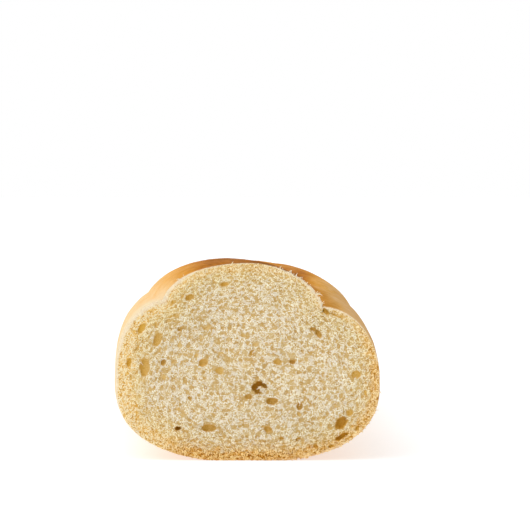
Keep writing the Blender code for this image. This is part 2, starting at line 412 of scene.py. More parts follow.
def store_map(piece, *parts):
    """A flat map of the piece, one place (u, v) for each corner of each face, for its colours."""
    layer = piece.data.uv_layers.new(name="OFBake")
    places = np.concatenate([np.reshape(part, (-1, 2)) for part in parts])
    layer.uv.foreach_set("vector", places.astype(np.float32).reshape(-1))


# %% [markdown]
# ## Colours
# The colours are those of the real loaf under white light. Crust goes too red and crumb too
# olive very easily, so both are kept a little yellower and paler than they look in memory. They
# could be picked by eye in the colour wheel, but as named red, green and blue values in one place
# they are easy to compare and to change. Each row of shades begins with its place on the ramp.

# %% Colours
def colour(red, green, blue):
    """From the 0 to 255 values of a picture to the linear values that nodes work in."""
    def linear(value):
        value /= 255.0
        return value / 12.92 if value <= 0.04045 else ((value + 0.055) / 1.055) ** 2.4
    return (linear(red), linear(green), linear(blue), 1.0)


def shades(*stops):
    return [(place, colour(*values)) for place, *values in stops]


WHITE = (1.0, 1.0, 1.0, 1.0)
# from the palest threads to the deepest cells; the darker stops are painted shade and glow inside the cells
CRUMB_SHADES = shades(
    (0.00, 255, 250, 232),    # threads that stand proud
    (0.18, 238, 219, 178),
    (0.36, 217, 192, 141),    # the web
    (0.52, 210, 175, 113),    # shallow cells
    (0.80, 196, 152, 78),     # open cells
    (1.00, 150, 102, 30),     # the deepest
)
TORN_SHADE = colour(246, 236, 217)     # torn places on the face
TORN_SHADES = shades((0.30, 255, 248, 234), (0.50, 246, 234, 208), (0.70, 230, 210, 168))    # loose bits
CRUST_BIT_SHADES = shades((0.35, 255, 226, 170), (0.65, 206, 148, 70))
HOLE_SHADES = shades((0.00, 228, 194, 124), (0.35, 209, 165, 84), (0.70, 186, 140, 50), (1.00, 150, 105, 20))
# painted shadow: the colour that the deepest holes take on
PAINTED_HOLE_SHADOW = colour(176, 118, 12)
GOLD_BAND_SHADES = shades(
    (0.06, 255, 240, 200), (0.40, 246, 210, 142), (0.68, 232, 184, 90), (1.00, 200, 134, 28))
BROWN_BAND_SHADES = shades(
    (0.06, 255, 220, 152), (0.40, 220, 164, 74), (0.68, 194, 127, 31), (1.00, 130, 68, 2))
SKIN_SHADES = shades(
    (0.00, 252, 220, 168),    # pale sides
    (0.18, 248, 204, 142),
    (0.40, 241, 180, 92),
    (0.60, 219, 150, 52),     # golden
    (0.80, 190, 118, 34),
    (1.00, 142, 84, 20),      # the darkest ridges
)
CUT_EDGE_SHADE = colour(246, 224, 184)
CREAM_SHADE = colour(255, 238, 208)    # crumb that stayed pale and dense just under the crust
print("shades of the crust", len(SKIN_SHADES), "and of the crumb", len(CRUMB_SHADES))

# %% [markdown]
# ## Shader groups
# Crust, crumb and the torn bits share two effects: a cloudy change of colour over a few
# millimetres, and a fine grain that breaks up the highlight. Each material could have its own
# nodes for them, but a group is built once, has named inputs, and takes each material's values.

# %% Mottling: cloudy lighter and darker places
MOTTLE_GAIN = 4.0     # noise seldom leaves the middle of its range, so its swing is stretched
mottling, start, end = new_tree(
    "mottling", "ShaderNodeTree",
    {"Color": (COLOUR, (0.8, 0.8, 0.8, 1.0)), "Place": (VECTOR, None), "Scale": (FLOAT, 200.0),
     "Strength": (FLOAT, 0.1)},
    {"Color": COLOUR},
)
inputs = {"Vector": start["Place"], "Scale": start["Scale"], "Detail": 3.0, "Roughness": 0.6}
mask = add_node(mottling, "ShaderNodeTexNoise", inputs).outputs[0]
change = times(mottling, calc(mottling, "SUBTRACT", mask, 0.5), start["Strength"])
gain = calc(mottling, "MULTIPLY_ADD", change, MOTTLE_GAIN, 1.0)
mottling.links.new(vector_calc(mottling, "SCALE", start["Color"], gain), end["Color"])

# %% Grain: a fine height for bump
grain, start, end = new_tree(
    "grain", "ShaderNodeTree",
    {"Place": (VECTOR, None), "Scale": (FLOAT, 2000.0)},
    {"Height": FLOAT},
)
inputs = {"Vector": start["Place"], "Scale": start["Scale"], "Detail": 4.0, "Roughness": 0.65}
grain.links.new(add_node(grain, "ShaderNodeTexNoise", inputs).outputs[0], end["Height"])


# %% Material helpers
def new_material(name, roughness, specular):
    material = bpy.data.materials.new(name)
    material.use_nodes = True
    tree = material.node_tree
    shader = tree.nodes["Principled BSDF"].inputs
    shader["Roughness"].default_value = roughness
    shader["Specular IOR Level"].default_value = specular
    print("material", name, "roughness", roughness)
    return material, tree, shader, tree.nodes.new("ShaderNodeTexCoord").outputs["Object"]


def place_group(tree, group, inputs):
    made = add_node(tree, "ShaderNodeGroup", node_tree=group)
    for name, value in inputs.items():
        feed(tree, made.inputs[name], value)
    return made.outputs[0]


def mottled(tree, shade, place, size, strength):
    inputs = {"Color": shade, "Place": place, "Scale": 1.0 / size, "Strength": strength}
    return place_group(tree, mottling, inputs)


def roughen(tree, shader, place, size, distance, strength, sunk=0.0):
    """A bump from grain of the given size, less whatever is sunk below it."""
    height = place_group(tree, grain, {"Place": place, "Scale": 1.0 / size})
    inputs = {"Strength": strength, "Distance": distance, "Height": calc(tree, "SUBTRACT", height, sunk)}
    tree.links.new(add_node(tree, "ShaderNodeBump", inputs).outputs["Normal"], shader["Normal"])


# %% [markdown]
# ## The crust
# The crust is the loaf's whole skin, a millimetre or so of dough that dried and browned. The
# solid's own mesh could be smoothed into it, but its faces are too wide for fine wrinkles. So the
# skin is lofted anew from rings of points, from the cut to the tip. Each ring starts a little
# further round than the one before, so the mesh runs along the slashes and not across them. At
# the cut the shell turns in to a recess, which the crumb fills.

# %% Rings of the crust
RING_POINTS = 400
RING_CROWDING = 0.36       # how much closer the points stand on top, where the slashes are
STATIONS = 234
STATION_CROWDING = 1.12    # above 1 the rings crowd towards the tip
TWIST = -1100              # degrees per metre
CRUST_START = 0.35 * MM    # behind the sawn face, which the crumb covers to its very edge
WALL = 0.6 * MM            # of crust between the skin and the recess
RECESS = 4.5 * MM          # how far the bottom of the recess lies behind the crust's start

distances = LENGTH * (1.0 - (1.0 - np.arange(STATIONS) / STATIONS) ** STATION_CROWDING)
distances[0] = CRUST_START
turns = 2.0 * math.pi * np.arange(RING_POINTS) / RING_POINTS + np.radians(TWIST * distances)[:, None]
angles = half_turn(turns - RING_CROWDING * np.sin(turns))
far = np.broadcast_to(distances[:, None], angles.shape)
skin = surface_points(angles, far)
print("skin points", skin.shape)

# %% [markdown]
# ### How baked the skin is
# The oven browned the top most, left the flanks pale, and turned the edges of the slashes dark.
# That could be painted by hand on the flat map. Here it is worked out for every point from short
# tables that go round the loaf, because the browning mostly follows the loaf's length. All the
# tables are read by one helper, and the results are stored on the mesh as fields.

# %% Tables that go round the loaf, by the angle from its top in degrees
# how brown the skin is from 0 to 1, first at the cut; from -18 to 31 degrees that brown is partly real bake
# and partly painted shade
BAKE_AND_SHADE_ROUND = (
    (-180, 0.80), (-150, 0.66), (-125, 0.30), (-95, 0.05), (-65, 0.08), (-50, 0.16), (-40, 0.40),
    (-30, 0.64), (-18, 0.90), (0, 0.94), (20, 0.98), (31, 0.92), (40, 0.48), (48, 0.36), (65, 0.34),
    (95, 0.46), (125, 0.50), (150, 0.66), (180, 0.80),
)
# and then further back, where skin and opened slashes take turns
FAR_BAKE_ROUND = (
    (-180, 0.80), (-150, 0.66), (-120, 0.44), (-95, 0.36), (-70, 0.42), (-45, 0.58), (-20, 0.76), (5, 0.82),
    (30, 0.76), (50, 0.60), (75, 0.44), (95, 0.38), (120, 0.46), (150, 0.66), (180, 0.80),
)
# how pale the crust is where it was sawn, and how much painted shade darkens its right flank
CREAM_ROUND = ((-115, 0.0), (-95, 0.6), (-70, 0.9), (-48, 0.9), (-40, 0.3), (-32, 0.0), (180, 0.0))
PAINTED_FLANK_SHADE_ROUND = ((-180, 0.0), (30, 0.0), (38, 0.3), (46, 1.0), (80, 1.0), (130, 0.3), (180, 0.0))


def round_the_loaf(table, angle, column=1):
    """What a column of such a table gives at angles in radians."""
    table = np.array(table)
    return np.interp(np.degrees(angle), table[:, 0], table[:, column])


def grows_in(distance, start, over):
    return smooth_step((distance - start) / over)


print("tables round the loaf have", len(BAKE_AND_SHADE_ROUND), "and", len(FAR_BAKE_ROUND), "places")

# %% The fields of the skin
FAR_FROM, FAR_OVER = 40 * MM, 60 * MM      # where the second table takes over
BLOOM_PALE = 0.05         # the dough that swelled out of a slash is paler,
FAR_BLOOM_PALE = 0.20     # and further back it stands out more
LEAF_BORDER = 1.6         # how sharply that dough ends at the leaf's edge
EAR_AT, EAR_WIDTH = 1.10, 0.10    # the lifted ridge beside it, in half widths of the leaf
EAR_BAKE = 0.22           # a ridge browns more,
EAR_LEAST = 0.4           # and most where the skin is brown already
TIP_EVEN = 0.58           # the tip is evenly brown all round,
TIP_EVEN_FROM, TIP_EVEN_OVER = 0.84 * LENGTH, 0.14 * LENGTH
TIP_BAKE = 0.16           # and browner than the rest
TIP_BAKE_FROM, TIP_BAKE_OVER = 0.72 * LENGTH, 0.25 * LENGTH
CREAM_BEHIND = 16 * MM    # the sawn edge's paleness dies away over this


def skin_fields(angle, distance):
    """Fields over the skin: how baked, with some painted shade near the top of the cut, how opened by a
    slash, the place across that slash, and painted shade on the right flank.
    """
    radius = skin_radius(angle, distance)
    bloom = np.zeros_like(angle)
    across_bloom = np.zeros_like(angle)
    ear = np.zeros_like(angle)
    for slash in SLASHES:
        _, across, opened = slash_at(slash, angle, distance, radius)
        inside = opened * smooth_step(LEAF_BORDER * (1.0 - np.abs(across)))
        across_bloom = np.where(inside > bloom, across, across_bloom)
        bloom = np.maximum(bloom, inside)
        ear = np.maximum(ear, opened * np.exp(-((across - EAR_AT) / EAR_WIDTH) ** 2))
    far_back = grows_in(distance, FAR_FROM, FAR_OVER)
    bake = round_the_loaf(BAKE_AND_SHADE_ROUND, angle) - BLOOM_PALE * bloom
    bake += far_back * (round_the_loaf(FAR_BAKE_ROUND, angle) - FAR_BLOOM_PALE * bloom - bake)
    bake += grows_in(distance, TIP_EVEN_FROM, TIP_EVEN_OVER) * (TIP_EVEN - bake)
    bake += EAR_BAKE * ear * (EAR_LEAST + bake)
    bake += TIP_BAKE * grows_in(distance, TIP_BAKE_FROM, TIP_BAKE_OVER)
    cream = round_the_loaf(CREAM_ROUND, angle) * smooth_step(1.0 - distance / CREAM_BEHIND)
    return {"bake": np.clip(bake, 0.0, 1.0), "bloom": bloom, "across": across_bloom, "cream": cream,
            "dull": round_the_loaf(PAINTED_FLANK_SHADE_ROUND, angle) * (1.0 - far_back)}


# %% Points of the crust, with the recess and the tip
core = core_points(np.array([0.0]))[0]
rim = skin[0] * (1.0, 0.0, 1.0) + (0.0, CRUST_START, 0.0)
outward = (rim - core) * (1.0, 0.0, 1.0)
outward /= np.linalg.norm(outward, axis=1)[:, None]
inner_rim = rim - outward * WALL
recess = inner_rim + (0.0, RECESS, 0.0)
rings = np.concatenate((recess[None], inner_rim[None], skin))
points = np.concatenate((rings.reshape(-1, 3), core_points(np.array([LENGTH]))))

# the formulas start at the sawn face, and the solid is centred across
middle_x = 0.5 * (points[:, 0].min() + points[:, 0].max())
to_frame = np.array((0.5 * (loaf_low.x + loaf_high.x) - middle_x, FACE_Y, loaf_low.z))
print("moved by", (to_frame / MM).round(2), "mm")

# %% Build the crust and store its fields
ABOVE_TRAY = (0.1 * MM, 1.2 * MM)     # the relief grows in above the tray (from, over),
BEHIND_CUT = (0.5 * MM, 3 * MM)       # and behind the cut
tip_index = len(points) - 1
last = tip_index - RING_POINTS
faces = tube_faces(len(rings), RING_POINTS).tolist()
faces += [[last + i, tip_index, last + (i + 1) % RING_POINTS] for i in range(RING_POINTS)]
faces.append(list(range(RING_POINTS)))
crust = piece_from("crust", (points + to_frame).tolist(), faces)
for name, values in skin_fields(angles, far).items():
    values = np.concatenate((values[:1], values[:1], values)).reshape(-1)
    store_field(crust, name, np.append(values, values[-1]))
way = np.append(np.concatenate((np.zeros((2, RING_POINTS)), far)).reshape(-1), LENGTH)
store_field(crust, "way", way)
store_field(crust, "free", grows_in(points[:, 2], *ABOVE_TRAY) * grows_in(way, *BEHIND_CUT))
print("crust", len(points), "points,", len(faces), "faces")

# %% [markdown]
# ### Relief of the crust
# Baked skin is never quite smooth: it has shallow dimples, and where a slash opened it has fine
# stretch lines along the leaf. A bump in the material would only shade them, and the outline
# would stay smooth, so a Geometry Nodes tree pushes the points along their normals. The tree
# reads the fields stored above.

# %% Tree: skin relief
skin_relief, start, end = geometry_tree("skin_relief", {
    "Dimple Size": (FLOAT, 6 * MM),
    "Dimple Depth": (FLOAT, 0.34 * MM),
    "Line Depth": (FLOAT, 0.20 * MM),
    "Lines Across": (FLOAT, 30.0),
    "Lines Along": (FLOAT, 40.0),
})
tree = skin_relief
position = position_in(tree)
dimple = swing(tree, position, start["Dimple Size"], detail=3.0, roughness=0.55)
dimple = times(tree, dimple, start["Dimple Depth"])
along = times(tree, parts_of(tree, position)[1], start["Lines Along"])
line_place = joined(tree, times(tree, named_field(tree, "across"), start["Lines Across"]), along)
lines = clouds(tree, line_place, 1.0, detail=3.0, roughness=0.6)
line = times(tree, calc(tree, "SUBTRACT", lines, 0.5), start["Line Depth"], named_field(tree, "bloom"))
push = times(tree, calc(tree, "ADD", dimple, line), named_field(tree, "free"))
normal = add_node(tree, "GeometryNodeInputNormal").outputs[0]
moved = add_node(tree, "GeometryNodeSetPosition", {
    "Geometry": keep_field(tree, start["Geometry"], "lines", lines),
    "Offset": vector_calc(tree, "SCALE", normal, push),
})
finish_tree(tree, end, moved.outputs[0], start["Material"])

# %% [markdown]
# ### Finish of the crust
# The skin is satin, not glossy. Its brown comes from the field that says how baked each place is,
# through one ramp of shades. A painted picture could carry it too, but nodes stay sharp at any
# distance. Broad clouds, small streaks, faint lines where the dough stretched and a few darker
# freckles break up the even colour.

# %% How brown each place of the crust is
CLOUD_SIZE, CLOUD_SWING = 11 * MM, 0.34
STREAK_SIZE, STREAK_SWING = 2.2 * MM, 0.42
LINE_SWING = 0.26
FRECKLE_SPACING = 2.4 * MM
FRECKLE_EDGE = (0.22, 0.04)     # from its outside in, as a share of the spacing
FRECKLE_PATCH = 7 * MM          # freckles come in patches of this size,
PATCH_EDGE = (0.50, 0.62)       # where the clouds are thick
FRECKLE_BAKE = 0.10
crust_material, tree, shader, place = new_material("crust", roughness=0.58, specular=0.01)
# the field read here is how brown the crust is, with some painted shade near the top of the cut
bake = surface_field(tree, "bake")
line = times(tree, calc(tree, "SUBTRACT", surface_field(tree, "lines"), 0.5), surface_field(tree, "bloom"))
bake = calc(tree, "MULTIPLY_ADD", line, LINE_SWING, bake)
wide_cloud = clouds(tree, place, CLOUD_SIZE, detail=3.0, roughness=0.6)
bake = calc(tree, "MULTIPLY_ADD", calc(tree, "SUBTRACT", wide_cloud, 0.5), CLOUD_SWING, bake)
streak = swing(tree, place, STREAK_SIZE, detail=4.0, roughness=0.7)
bake = calc(tree, "MULTIPLY_ADD", streak, STREAK_SWING, bake)
inputs = {"Vector": place, "Scale": 1.0 / FRECKLE_SPACING}
freckle = fade(tree, add_node(tree, "ShaderNodeTexVoronoi", inputs).outputs["Distance"], *FRECKLE_EDGE)
freckle = times(tree, freckle, fade(tree, clouds(tree, place, FRECKLE_PATCH), *PATCH_EDGE))
bake = calc(tree, "MULTIPLY_ADD", freckle, FRECKLE_BAKE, bake)

# %% The crust's colour and shine
# painted shade: the right flank faces the darker side of the room, so its colour is darkened and greyed here
PAINTED_FLANK_SHADE_TINT = (0.80, 0.84, 1.0, 1.0)       # the right flank faces the darker side of the room
NEAR_CUT = (1.2 * MM, 0.3 * MM, 0.0, 0.4)    # the sawn edge of the crust pales towards the cut
SATIN = (0.3, 0.7, 0.48, 0.64)           # from thin to thick clouds, how rough the skin is
shade = ramp(tree, bake, SKIN_SHADES)
shade = mottled(tree, shade, place, size=0.9 * MM, strength=0.09)
# painted shade on the right flank, from the field stored on the skin
dull = blend_colour(tree, surface_field(tree, "dull"), WHITE, PAINTED_FLANK_SHADE_TINT)
shade = vector_calc(tree, "MULTIPLY", shade, dull)
near_cut = largest(tree, fade(tree, surface_field(tree, "way"), *NEAR_CUT), surface_field(tree, "cream"))
shade = blend_colour(tree, near_cut, shade, CUT_EDGE_SHADE)
tree.links.new(shade, shader["Base Color"])
tree.links.new(fade(tree, wide_cloud, *SATIN), shader["Roughness"])
roughen(tree, shader, place, size=0.7 * MM, distance=0.10 * MM, strength=0.35)
print("the crust's shader has", len(tree.nodes), "nodes")

# %% Run the relief and lay out the crust's map
# The skin is unrolled: round the loaf is u, along it is v. The recess floor, which nobody sees, is
# a small disc below it.
MAP_FLOOR = 0.06        # height of the strip that is left for the disc
MAP_DISC = 0.45         # radius of the disc, as a share of that
run_tree(crust, skin_relief, {"Material": crust_material})
row, column = np.divmod(np.arange((len(rings) - 1) * RING_POINTS), RING_POINTS)
u = (column[:, None] + (0, 0, 1, 1)) / RING_POINTS
v = MAP_FLOOR + (1.0 - MAP_FLOOR) * (row[:, None] + (0, 1, 1, 0)) / len(rings)
column = np.arange(RING_POINTS)
tip_u = (column[:, None] + (0, 0.5, 1)) / RING_POINTS
tip_v = np.broadcast_to(1.0 - (1.0 - MAP_FLOOR) / len(rings) * np.array((1, 0, 1)), tip_u.shape)
disc = MAP_DISC * MAP_FLOOR * (1.0 + np.stack((np.cos(turns[0]), np.sin(turns[0])), axis=-1))
store_map(crust, np.stack((u, v), axis=-1), np.stack((tip_u, tip_v), axis=-1), disc)

# %% [markdown]
# ## The crumb
# The sawn face shows the crumb: a web of thin walls round air cells of all sizes. Cutting balls
# out of a solid would take thousands of Booleans. Here it is a disc of fine squares, bent to the
# loaf's outline, and a tree carves the cells into it. Fields for the depth of the cells, the
# toasted edge and the torn places carry on into the material.

# %% A disc of squares fitted to the outline
FACE_CELLS = 306           # squares along each side of the grid
PLUG_DEPTH = 4.2 * MM      # how far it reaches back, which is less than the crust's recess does
FLANGE = 0.33 * MM         # thickness of the crumb's edge, in front of the crust
NECK_INSET = 0.65 * MM     # how much smaller the plug is where it sits in the crust's recess


def disc_of_squares(cells):
    """A square grid bent into a disc: the x and z of each point in a circle of radius 1."""
    line = np.linspace(-1.0, 1.0, cells + 1)
    a, b = np.meshgrid(line, line)
    wide = np.abs(a) >= np.abs(b)
    safe_a, safe_b = np.where(a == 0.0, 1.0, a), np.where(b == 0.0, 1.0, b)
    radius = np.where(wide, a, b)
    angle = np.where(wide, 0.25 * math.pi * b / safe_a, 0.5 * math.pi - 0.25 * math.pi * a / safe_b)
    return (radius * np.cos(angle)).reshape(-1), (radius * np.sin(angle)).reshape(-1)


disc_x, disc_z = disc_of_squares(FACE_CELLS)
face_share = np.hypot(disc_x, disc_z)
face_angle = np.arctan2(disc_x, disc_z)
outline = surface_points(face_angle, np.zeros_like(face_angle)) - core
reach = np.hypot(outline[:, 0], outline[:, 2])
face = np.stack((
    core[0] + face_share * reach * np.sin(face_angle),
    np.zeros_like(reach),
    core[2] + face_share * reach * np.cos(face_angle),
), axis=-1) + to_frame
print("crumb spacing", round(WIDTH / FACE_CELLS / MM, 3), "mm")

# %% Distance from the outline, measured properly
OUTLINE_POINTS = 240


def rim_distance(points, outline):
    """Shortest distance in the face from each point to the closed outline."""
    best = np.full(len(points), WIDTH)
    for first, second in zip(outline, np.roll(outline, -1, axis=0)):
        step = second - first
        along = np.clip(((points - first) @ step) / (step @ step), 0.0, 1.0)
        gap = points - first - along[:, None] * step
        best = np.minimum(best, np.hypot(gap[:, 0], gap[:, 1]))
    return best


rim_angles = np.linspace(-math.pi, math.pi, OUTLINE_POINTS, endpoint=False)
face_outline = (surface_points(rim_angles, np.zeros_like(rim_angles)) + to_frame)[:, (0, 2)]
face_rim = rim_distance(face[:, (0, 2)], face_outline)
print("middle of the face to its outline", round(face_rim.max() / MM, 1), "mm")

# %% [markdown]
# ### The toasted and ragged edge
# The outermost crumb dried with the crust. It is brown and sandy along the bottom, golden up the
# flanks and creamy under the slashes, and the saw frayed it at the top and crumbled it below.
# Its width and colour change all the way round, so they are tables like those of the crust.

# %% Tables for the crumb's edge, by the angle from the top in degrees
# width of the band in mm, how much of it shows, how brown, and the width in mm of the dense
# cream-coloured crumb outside it
EDGE_BAND = (
    (-180, 3.2, 1.00, 1.00, 0.0), (-155, 3.4, 1.00, 1.00, 0.0), (-136, 3.4, 1.00, 0.95, 0.0),
    (-126, 4.4, 1.00, 0.35, 0.1), (-115, 4.8, 0.95, 0.12, 0.1), (-90, 5.4, 1.00, 0.00, 0.6),
    (-60, 4.8, 1.00, 0.00, 1.0), (-47, 3.8, 0.95, 0.00, 1.3), (-35, 2.8, 0.85, 0.05, 1.0),
    (-22, 2.4, 0.75, 0.15, 0.2), (5, 2.6, 0.65, 0.30, 0.0), (20, 1.8, 0.50, 0.15, 0.2),
    (40, 2.0, 0.55, 0.10, 1.0), (48, 2.0, 0.60, 0.15, 0.5), (60, 2.0, 0.70, 0.25, 0.3),
    (75, 2.6, 0.95, 0.55, 0.1), (95, 3.0, 1.00, 0.65, 0.0), (118, 3.2, 1.00, 0.50, 0.0),
    (140, 3.2, 1.00, 0.85, 0.0), (165, 3.3, 1.00, 1.00, 0.0), (180, 3.2, 1.00, 1.00, 0.0),
)
# how much the saw frayed the edge into threads, and crumbled it into grains
FRAYED_EDGE = ((-62, 0.0), (-48, 0.1), (-34, 0.4), (-22, 0.3), (12, 0.2), (18, 0.9), (45, 1.0), (54, 0.1),
               (130, 0.1), (150, 0.3), (180, 0.2))
CRUMBLY_EDGE = ((-160, 0.5), (-130, 0.2), (-110, 0.0), (70, 0.0), (100, 0.3), (130, 0.8), (165, 1.0),
                (180, 0.6))
EDGE_ZONE = 0.5 * MM      # loose bits that belong to the edge start this close to it
CRUMBLY_SHARE = 0.7       # of the raggedness that a frayed edge has
band_width, band_share, band_brown, cream_width = (
    round_the_loaf(EDGE_BAND, face_angle, column) for column in (1, 2, 3, 4))
frayed, crumbly = round_the_loaf(FRAYED_EDGE, face_angle), round_the_loaf(CRUMBLY_EDGE, face_angle)
print("toasted band", round(band_width.min(), 1), "to", round(band_width.max(), 1), "mm wide")

# %% [markdown]
# ### The named air holes
# The face has about thirty holes that the eye picks out, some more cells that still stand out,
# and countless small ones. A random pattern would put them anywhere, so the first two kinds are
# placed one by one. Most of the large ones lie where the solid has a hole too, and two ragged
# ones are made of several ovals. Points carry their sizes, and the tree looks up the nearest one.

# %% The large holes and the clearest of the small ones
# in mm: centre (x, z), half length, half width, tilt of the long side from X in degrees, and depth
LARGE_HOLES = (
    (2.0, 20.1, 1.2, 0.9, 75, 1.8), (2.6, 19.0, 1.0, 0.8, -40, 1.5), (3.2, 21.0, 1.3, 0.8, 10, 1.8),
    (4.5, 20.5, 1.0, 0.6, -35, 1.4), (6.6, 16.3, 1.7, 1.0, 0, 1.1), (0.2, 17.5, 1.2, 0.8, 0, 0.8),
    (-10.7, 8.9, 2.1, 1.1, 0, 1.0), (25.7, 10.4, 2.1, 1.4, 50, 1.4), (25.8, 6.6, 2.0, 0.6, 30, 1.2),
    (-28.3, 25.6, 2.8, 1.4, 84, 0.8), (-24.7, 33.2, 2.2, 1.2, 68, 0.7), (-29.1, 36.3, 2.0, 1.0, 58, 0.5),
    (-32.6, 26.9, 1.4, 0.8, 74, 0.5), (-23.2, 27.0, 0.9, 0.7, 60, 0.9), (18.0, 36.0, 1.1, 0.6, -15, 0.9),
    (19.3, 34.9, 1.5, 0.8, -58, 1.0), (29.6, 23.6, 1.4, 1.2, 0, 0.6), (27.9, 13.2, 1.2, 1.0, 10, 0.5),
    (5.5, 8.6, 1.2, 0.9, 0, 0.8), (-19.2, 8.8, 0.8, 0.5, 15, 1.6), (-7.7, 24.7, 1.4, 1.3, 0, 0.5),
    (-12.3, 26.9, 1.4, 1.1, 30, 0.8), (8.2, 27.1, 1.3, 0.9, 0, 0.6), (12.3, 27.1, 0.8, 0.7, 0, 1.0),
    (-11.5, 36.5, 1.3, 0.9, 10, 0.4), (-15.9, 44.8, 1.4, 0.8, 20, 0.7), (-6.3, 48.4, 1.3, 0.7, 8, 0.6),
    (14.2, 14.9, 1.1, 0.9, 70, 1.0), (21.4, 41.0, 1.3, 0.7, -55, 0.8), (24.0, 40.0, 2.7, 0.4, -23, 0.4),
)
SMALL_HOLES = (
    (-20.3, 43.6, 0.9, 0.6, 25, 0.40), (-17.8, 45.3, 0.7, 0.5, 20, 0.34), (-19.6, 39.9, 0.9, 0.6, 20, 0.36),
    (-21.9, 38.4, 0.9, 0.5, 45, 0.40), (-25.2, 37.3, 1.0, 0.5, 65, 0.40), (-22.4, 36.2, 0.7, 0.5, 50, 0.34),
    (-22.8, 33.3, 0.8, 0.6, 80, 0.36), (-15.6, 33.9, 0.9, 0.6, 5, 0.34), (-12.9, 33.8, 1.1, 0.8, 15, 0.30),
    (-20.3, 33.8, 0.7, 0.5, 65, 0.32), (-16.3, 30.8, 0.8, 0.5, 80, 0.32), (-30.3, 31.0, 1.0, 0.5, 72, 0.38),
    (-24.1, 30.5, 1.0, 0.5, 80, 0.40), (-32.1, 22.9, 1.1, 0.5, 88, 0.36), (-23.2, 23.2, 1.2, 0.8, -20, 0.36),
    (-24.8, 24.7, 0.9, 0.5, 80, 0.36), (-19.9, 22.5, 0.9, 0.6, -20, 0.34), (-9.2, 27.7, 0.7, 0.5, 0, 0.32),
    (-2.7, 30.0, 0.7, 0.6, 0, 0.32), (1.8, 31.8, 1.0, 0.6, 20, 0.34), (-1.0, 34.4, 0.9, 0.6, 0, 0.32),
    (-19.4, 14.2, 0.8, 0.6, 0, 0.34), (-21.5, 13.6, 0.8, 0.5, 60, 0.38), (-2.2, 14.9, 0.9, 0.6, 0, 0.32),
    (-3.4, 17.4, 0.8, 0.5, 0, 0.32), (14.1, 12.7, 0.7, 0.6, 0, 0.40), (24.0, 15.2, 0.7, 0.6, 0, 0.36),
    (32.2, 18.7, 0.9, 0.5, 85, 0.38), (19.4, 11.6, 0.8, 0.6, 75, 0.36), (15.8, 9.7, 0.8, 0.5, 0, 0.36),
    (20.0, 9.7, 0.7, 0.5, 40, 0.36), (22.4, 8.9, 0.7, 0.5, 0, 0.36), (-14.8, 35.9, 1.4, 0.7, 5, 0.26),
    (-14.1, 29.1, 1.0, 0.6, 0, 0.26), (-18.8, 31.8, 0.9, 0.6, 70, 0.26), (-5.2, 32.9, 1.1, 1.0, 0, 0.26),
    (-7.7, 29.6, 1.1, 0.7, 0, 0.26), (-18.6, 36.1, 0.9, 0.6, 50, 0.60), (1.1, 29.7, 0.9, 0.6, 55, 0.60),
    (-15.9, 17.1, 0.7, 0.6, -30, 0.60), (13.7, 5.8, 0.7, 0.5, 40, 0.60), (9.3, 6.1, 0.7, 0.4, -10, 0.60),
    (22.7, 3.9, 0.8, 0.4, 35, 0.60), (30.0, 8.9, 0.9, 0.4, 62, 0.60), (18.6, 3.9, 0.6, 0.4, 0, 0.60),
)


def carrier(name, x, z, behind, fields):
    """An object with a point for each (x, z) in mm, so far behind the face, that carries fields."""
    mesh = bpy.data.meshes.new(name)
    places = np.stack((x * MM, np.full(len(x), behind), z * MM), axis=-1) + to_frame
    mesh.from_pydata(places.tolist(), [], [])
    made = bpy.data.objects.new(name, mesh)
    for label, values in fields.items():
        store_field(made, label, values)
    print(name, len(x))
    return made


def hole_points(name, holes):
    x, z, long, short, tilt, depth = np.array(holes).T
    sizes = {"long": long * MM, "short": short * MM, "tilt": tilt, "depth": depth * MM}
    return carrier(name, x, z, 0.0, sizes)


holes = {"Large Holes": hole_points("large_holes", LARGE_HOLES),
         "Small Holes": hole_points("small_holes", SMALL_HOLES)}

# %% Build the plain plug: the flat face, a flange behind its edge, and a neck down to its back
side = FACE_CELLS + 1
edge_index = np.concatenate((
    np.arange(side), np.arange(2 * side - 1, side * side, side),
    np.arange(side * side - 2, side * (side - 1) - 1, -1), np.arange(side * (side - 2), 0, -side),
))
edge_count = len(edge_index)
here = (np.arange(FACE_CELLS)[:, None] * side + np.arange(FACE_CELLS)).reshape(-1)
front = np.stack((here, here + 1, here + side + 1, here + side), axis=-1)
edge = face[edge_index]
inward = (core + to_frame - edge) * (1.0, 0.0, 1.0)
inward /= np.linalg.norm(inward, axis=1)[:, None]
neck = edge + inward * NECK_INSET
skirt = (edge + (0.0, FLANGE, 0.0), neck + (0.0, FLANGE, 0.0), neck + (0.0, PLUG_DEPTH, 0.0))
rows = [edge_index] + [len(face) + i * edge_count + np.arange(edge_count) for i in range(len(skirt))]
quads = [front] + [np.stack((near, beyond, np.roll(beyond, -1), np.roll(near, -1)), axis=-1)
                   for near, beyond in zip(rows, rows[1:])]
plug_faces = np.concatenate(quads).tolist() + [rows[-1][::-1].tolist()]
crumb = piece_from("crumb", np.concatenate((face,) + skirt).tolist(), plug_faces)
print("crumb", len(face), "points on the face,", edge_count, "round its edge")

# %% Store the crumb's fields
at_edge = face_rim < EDGE_ZONE
for name, values, behind in (
    ("face", np.ones(len(face)), 0.0),           # 1 on the face, 0 on the skirt behind it
    ("rim", face_rim, 0.0),
    ("share", face_share, None),
    ("band", face_rim / (band_width * MM), None),    # distance from the rim, in widths of the band
    ("toast", band_share, None),
    ("brown", band_brown, None),
    ("cream", cream_width * MM, None),
    ("frayed", frayed * at_edge, 0.0),
    ("crumbly", crumbly * at_edge, 0.0),
    ("ragged", np.maximum(frayed, CRUMBLY_SHARE * crumbly), None),
):
    back = values[edge_index] if behind is None else np.full(edge_count, behind)
    store_field(crumb, name, np.concatenate([values] + [back] * len(skirt)))

# %% [markdown]
# ### The pattern of the cells
# Relief and colour have to agree, so one function writes the same pattern into both trees. It
# works on the flat face: the cells are bowls of random width in a part of the cells of a
# Voronoi texture, in three sizes, on a place that noise has stirred. Near the crust the place is
# squeezed towards the edge, which flattens the cells along the crust, as rising dough does.

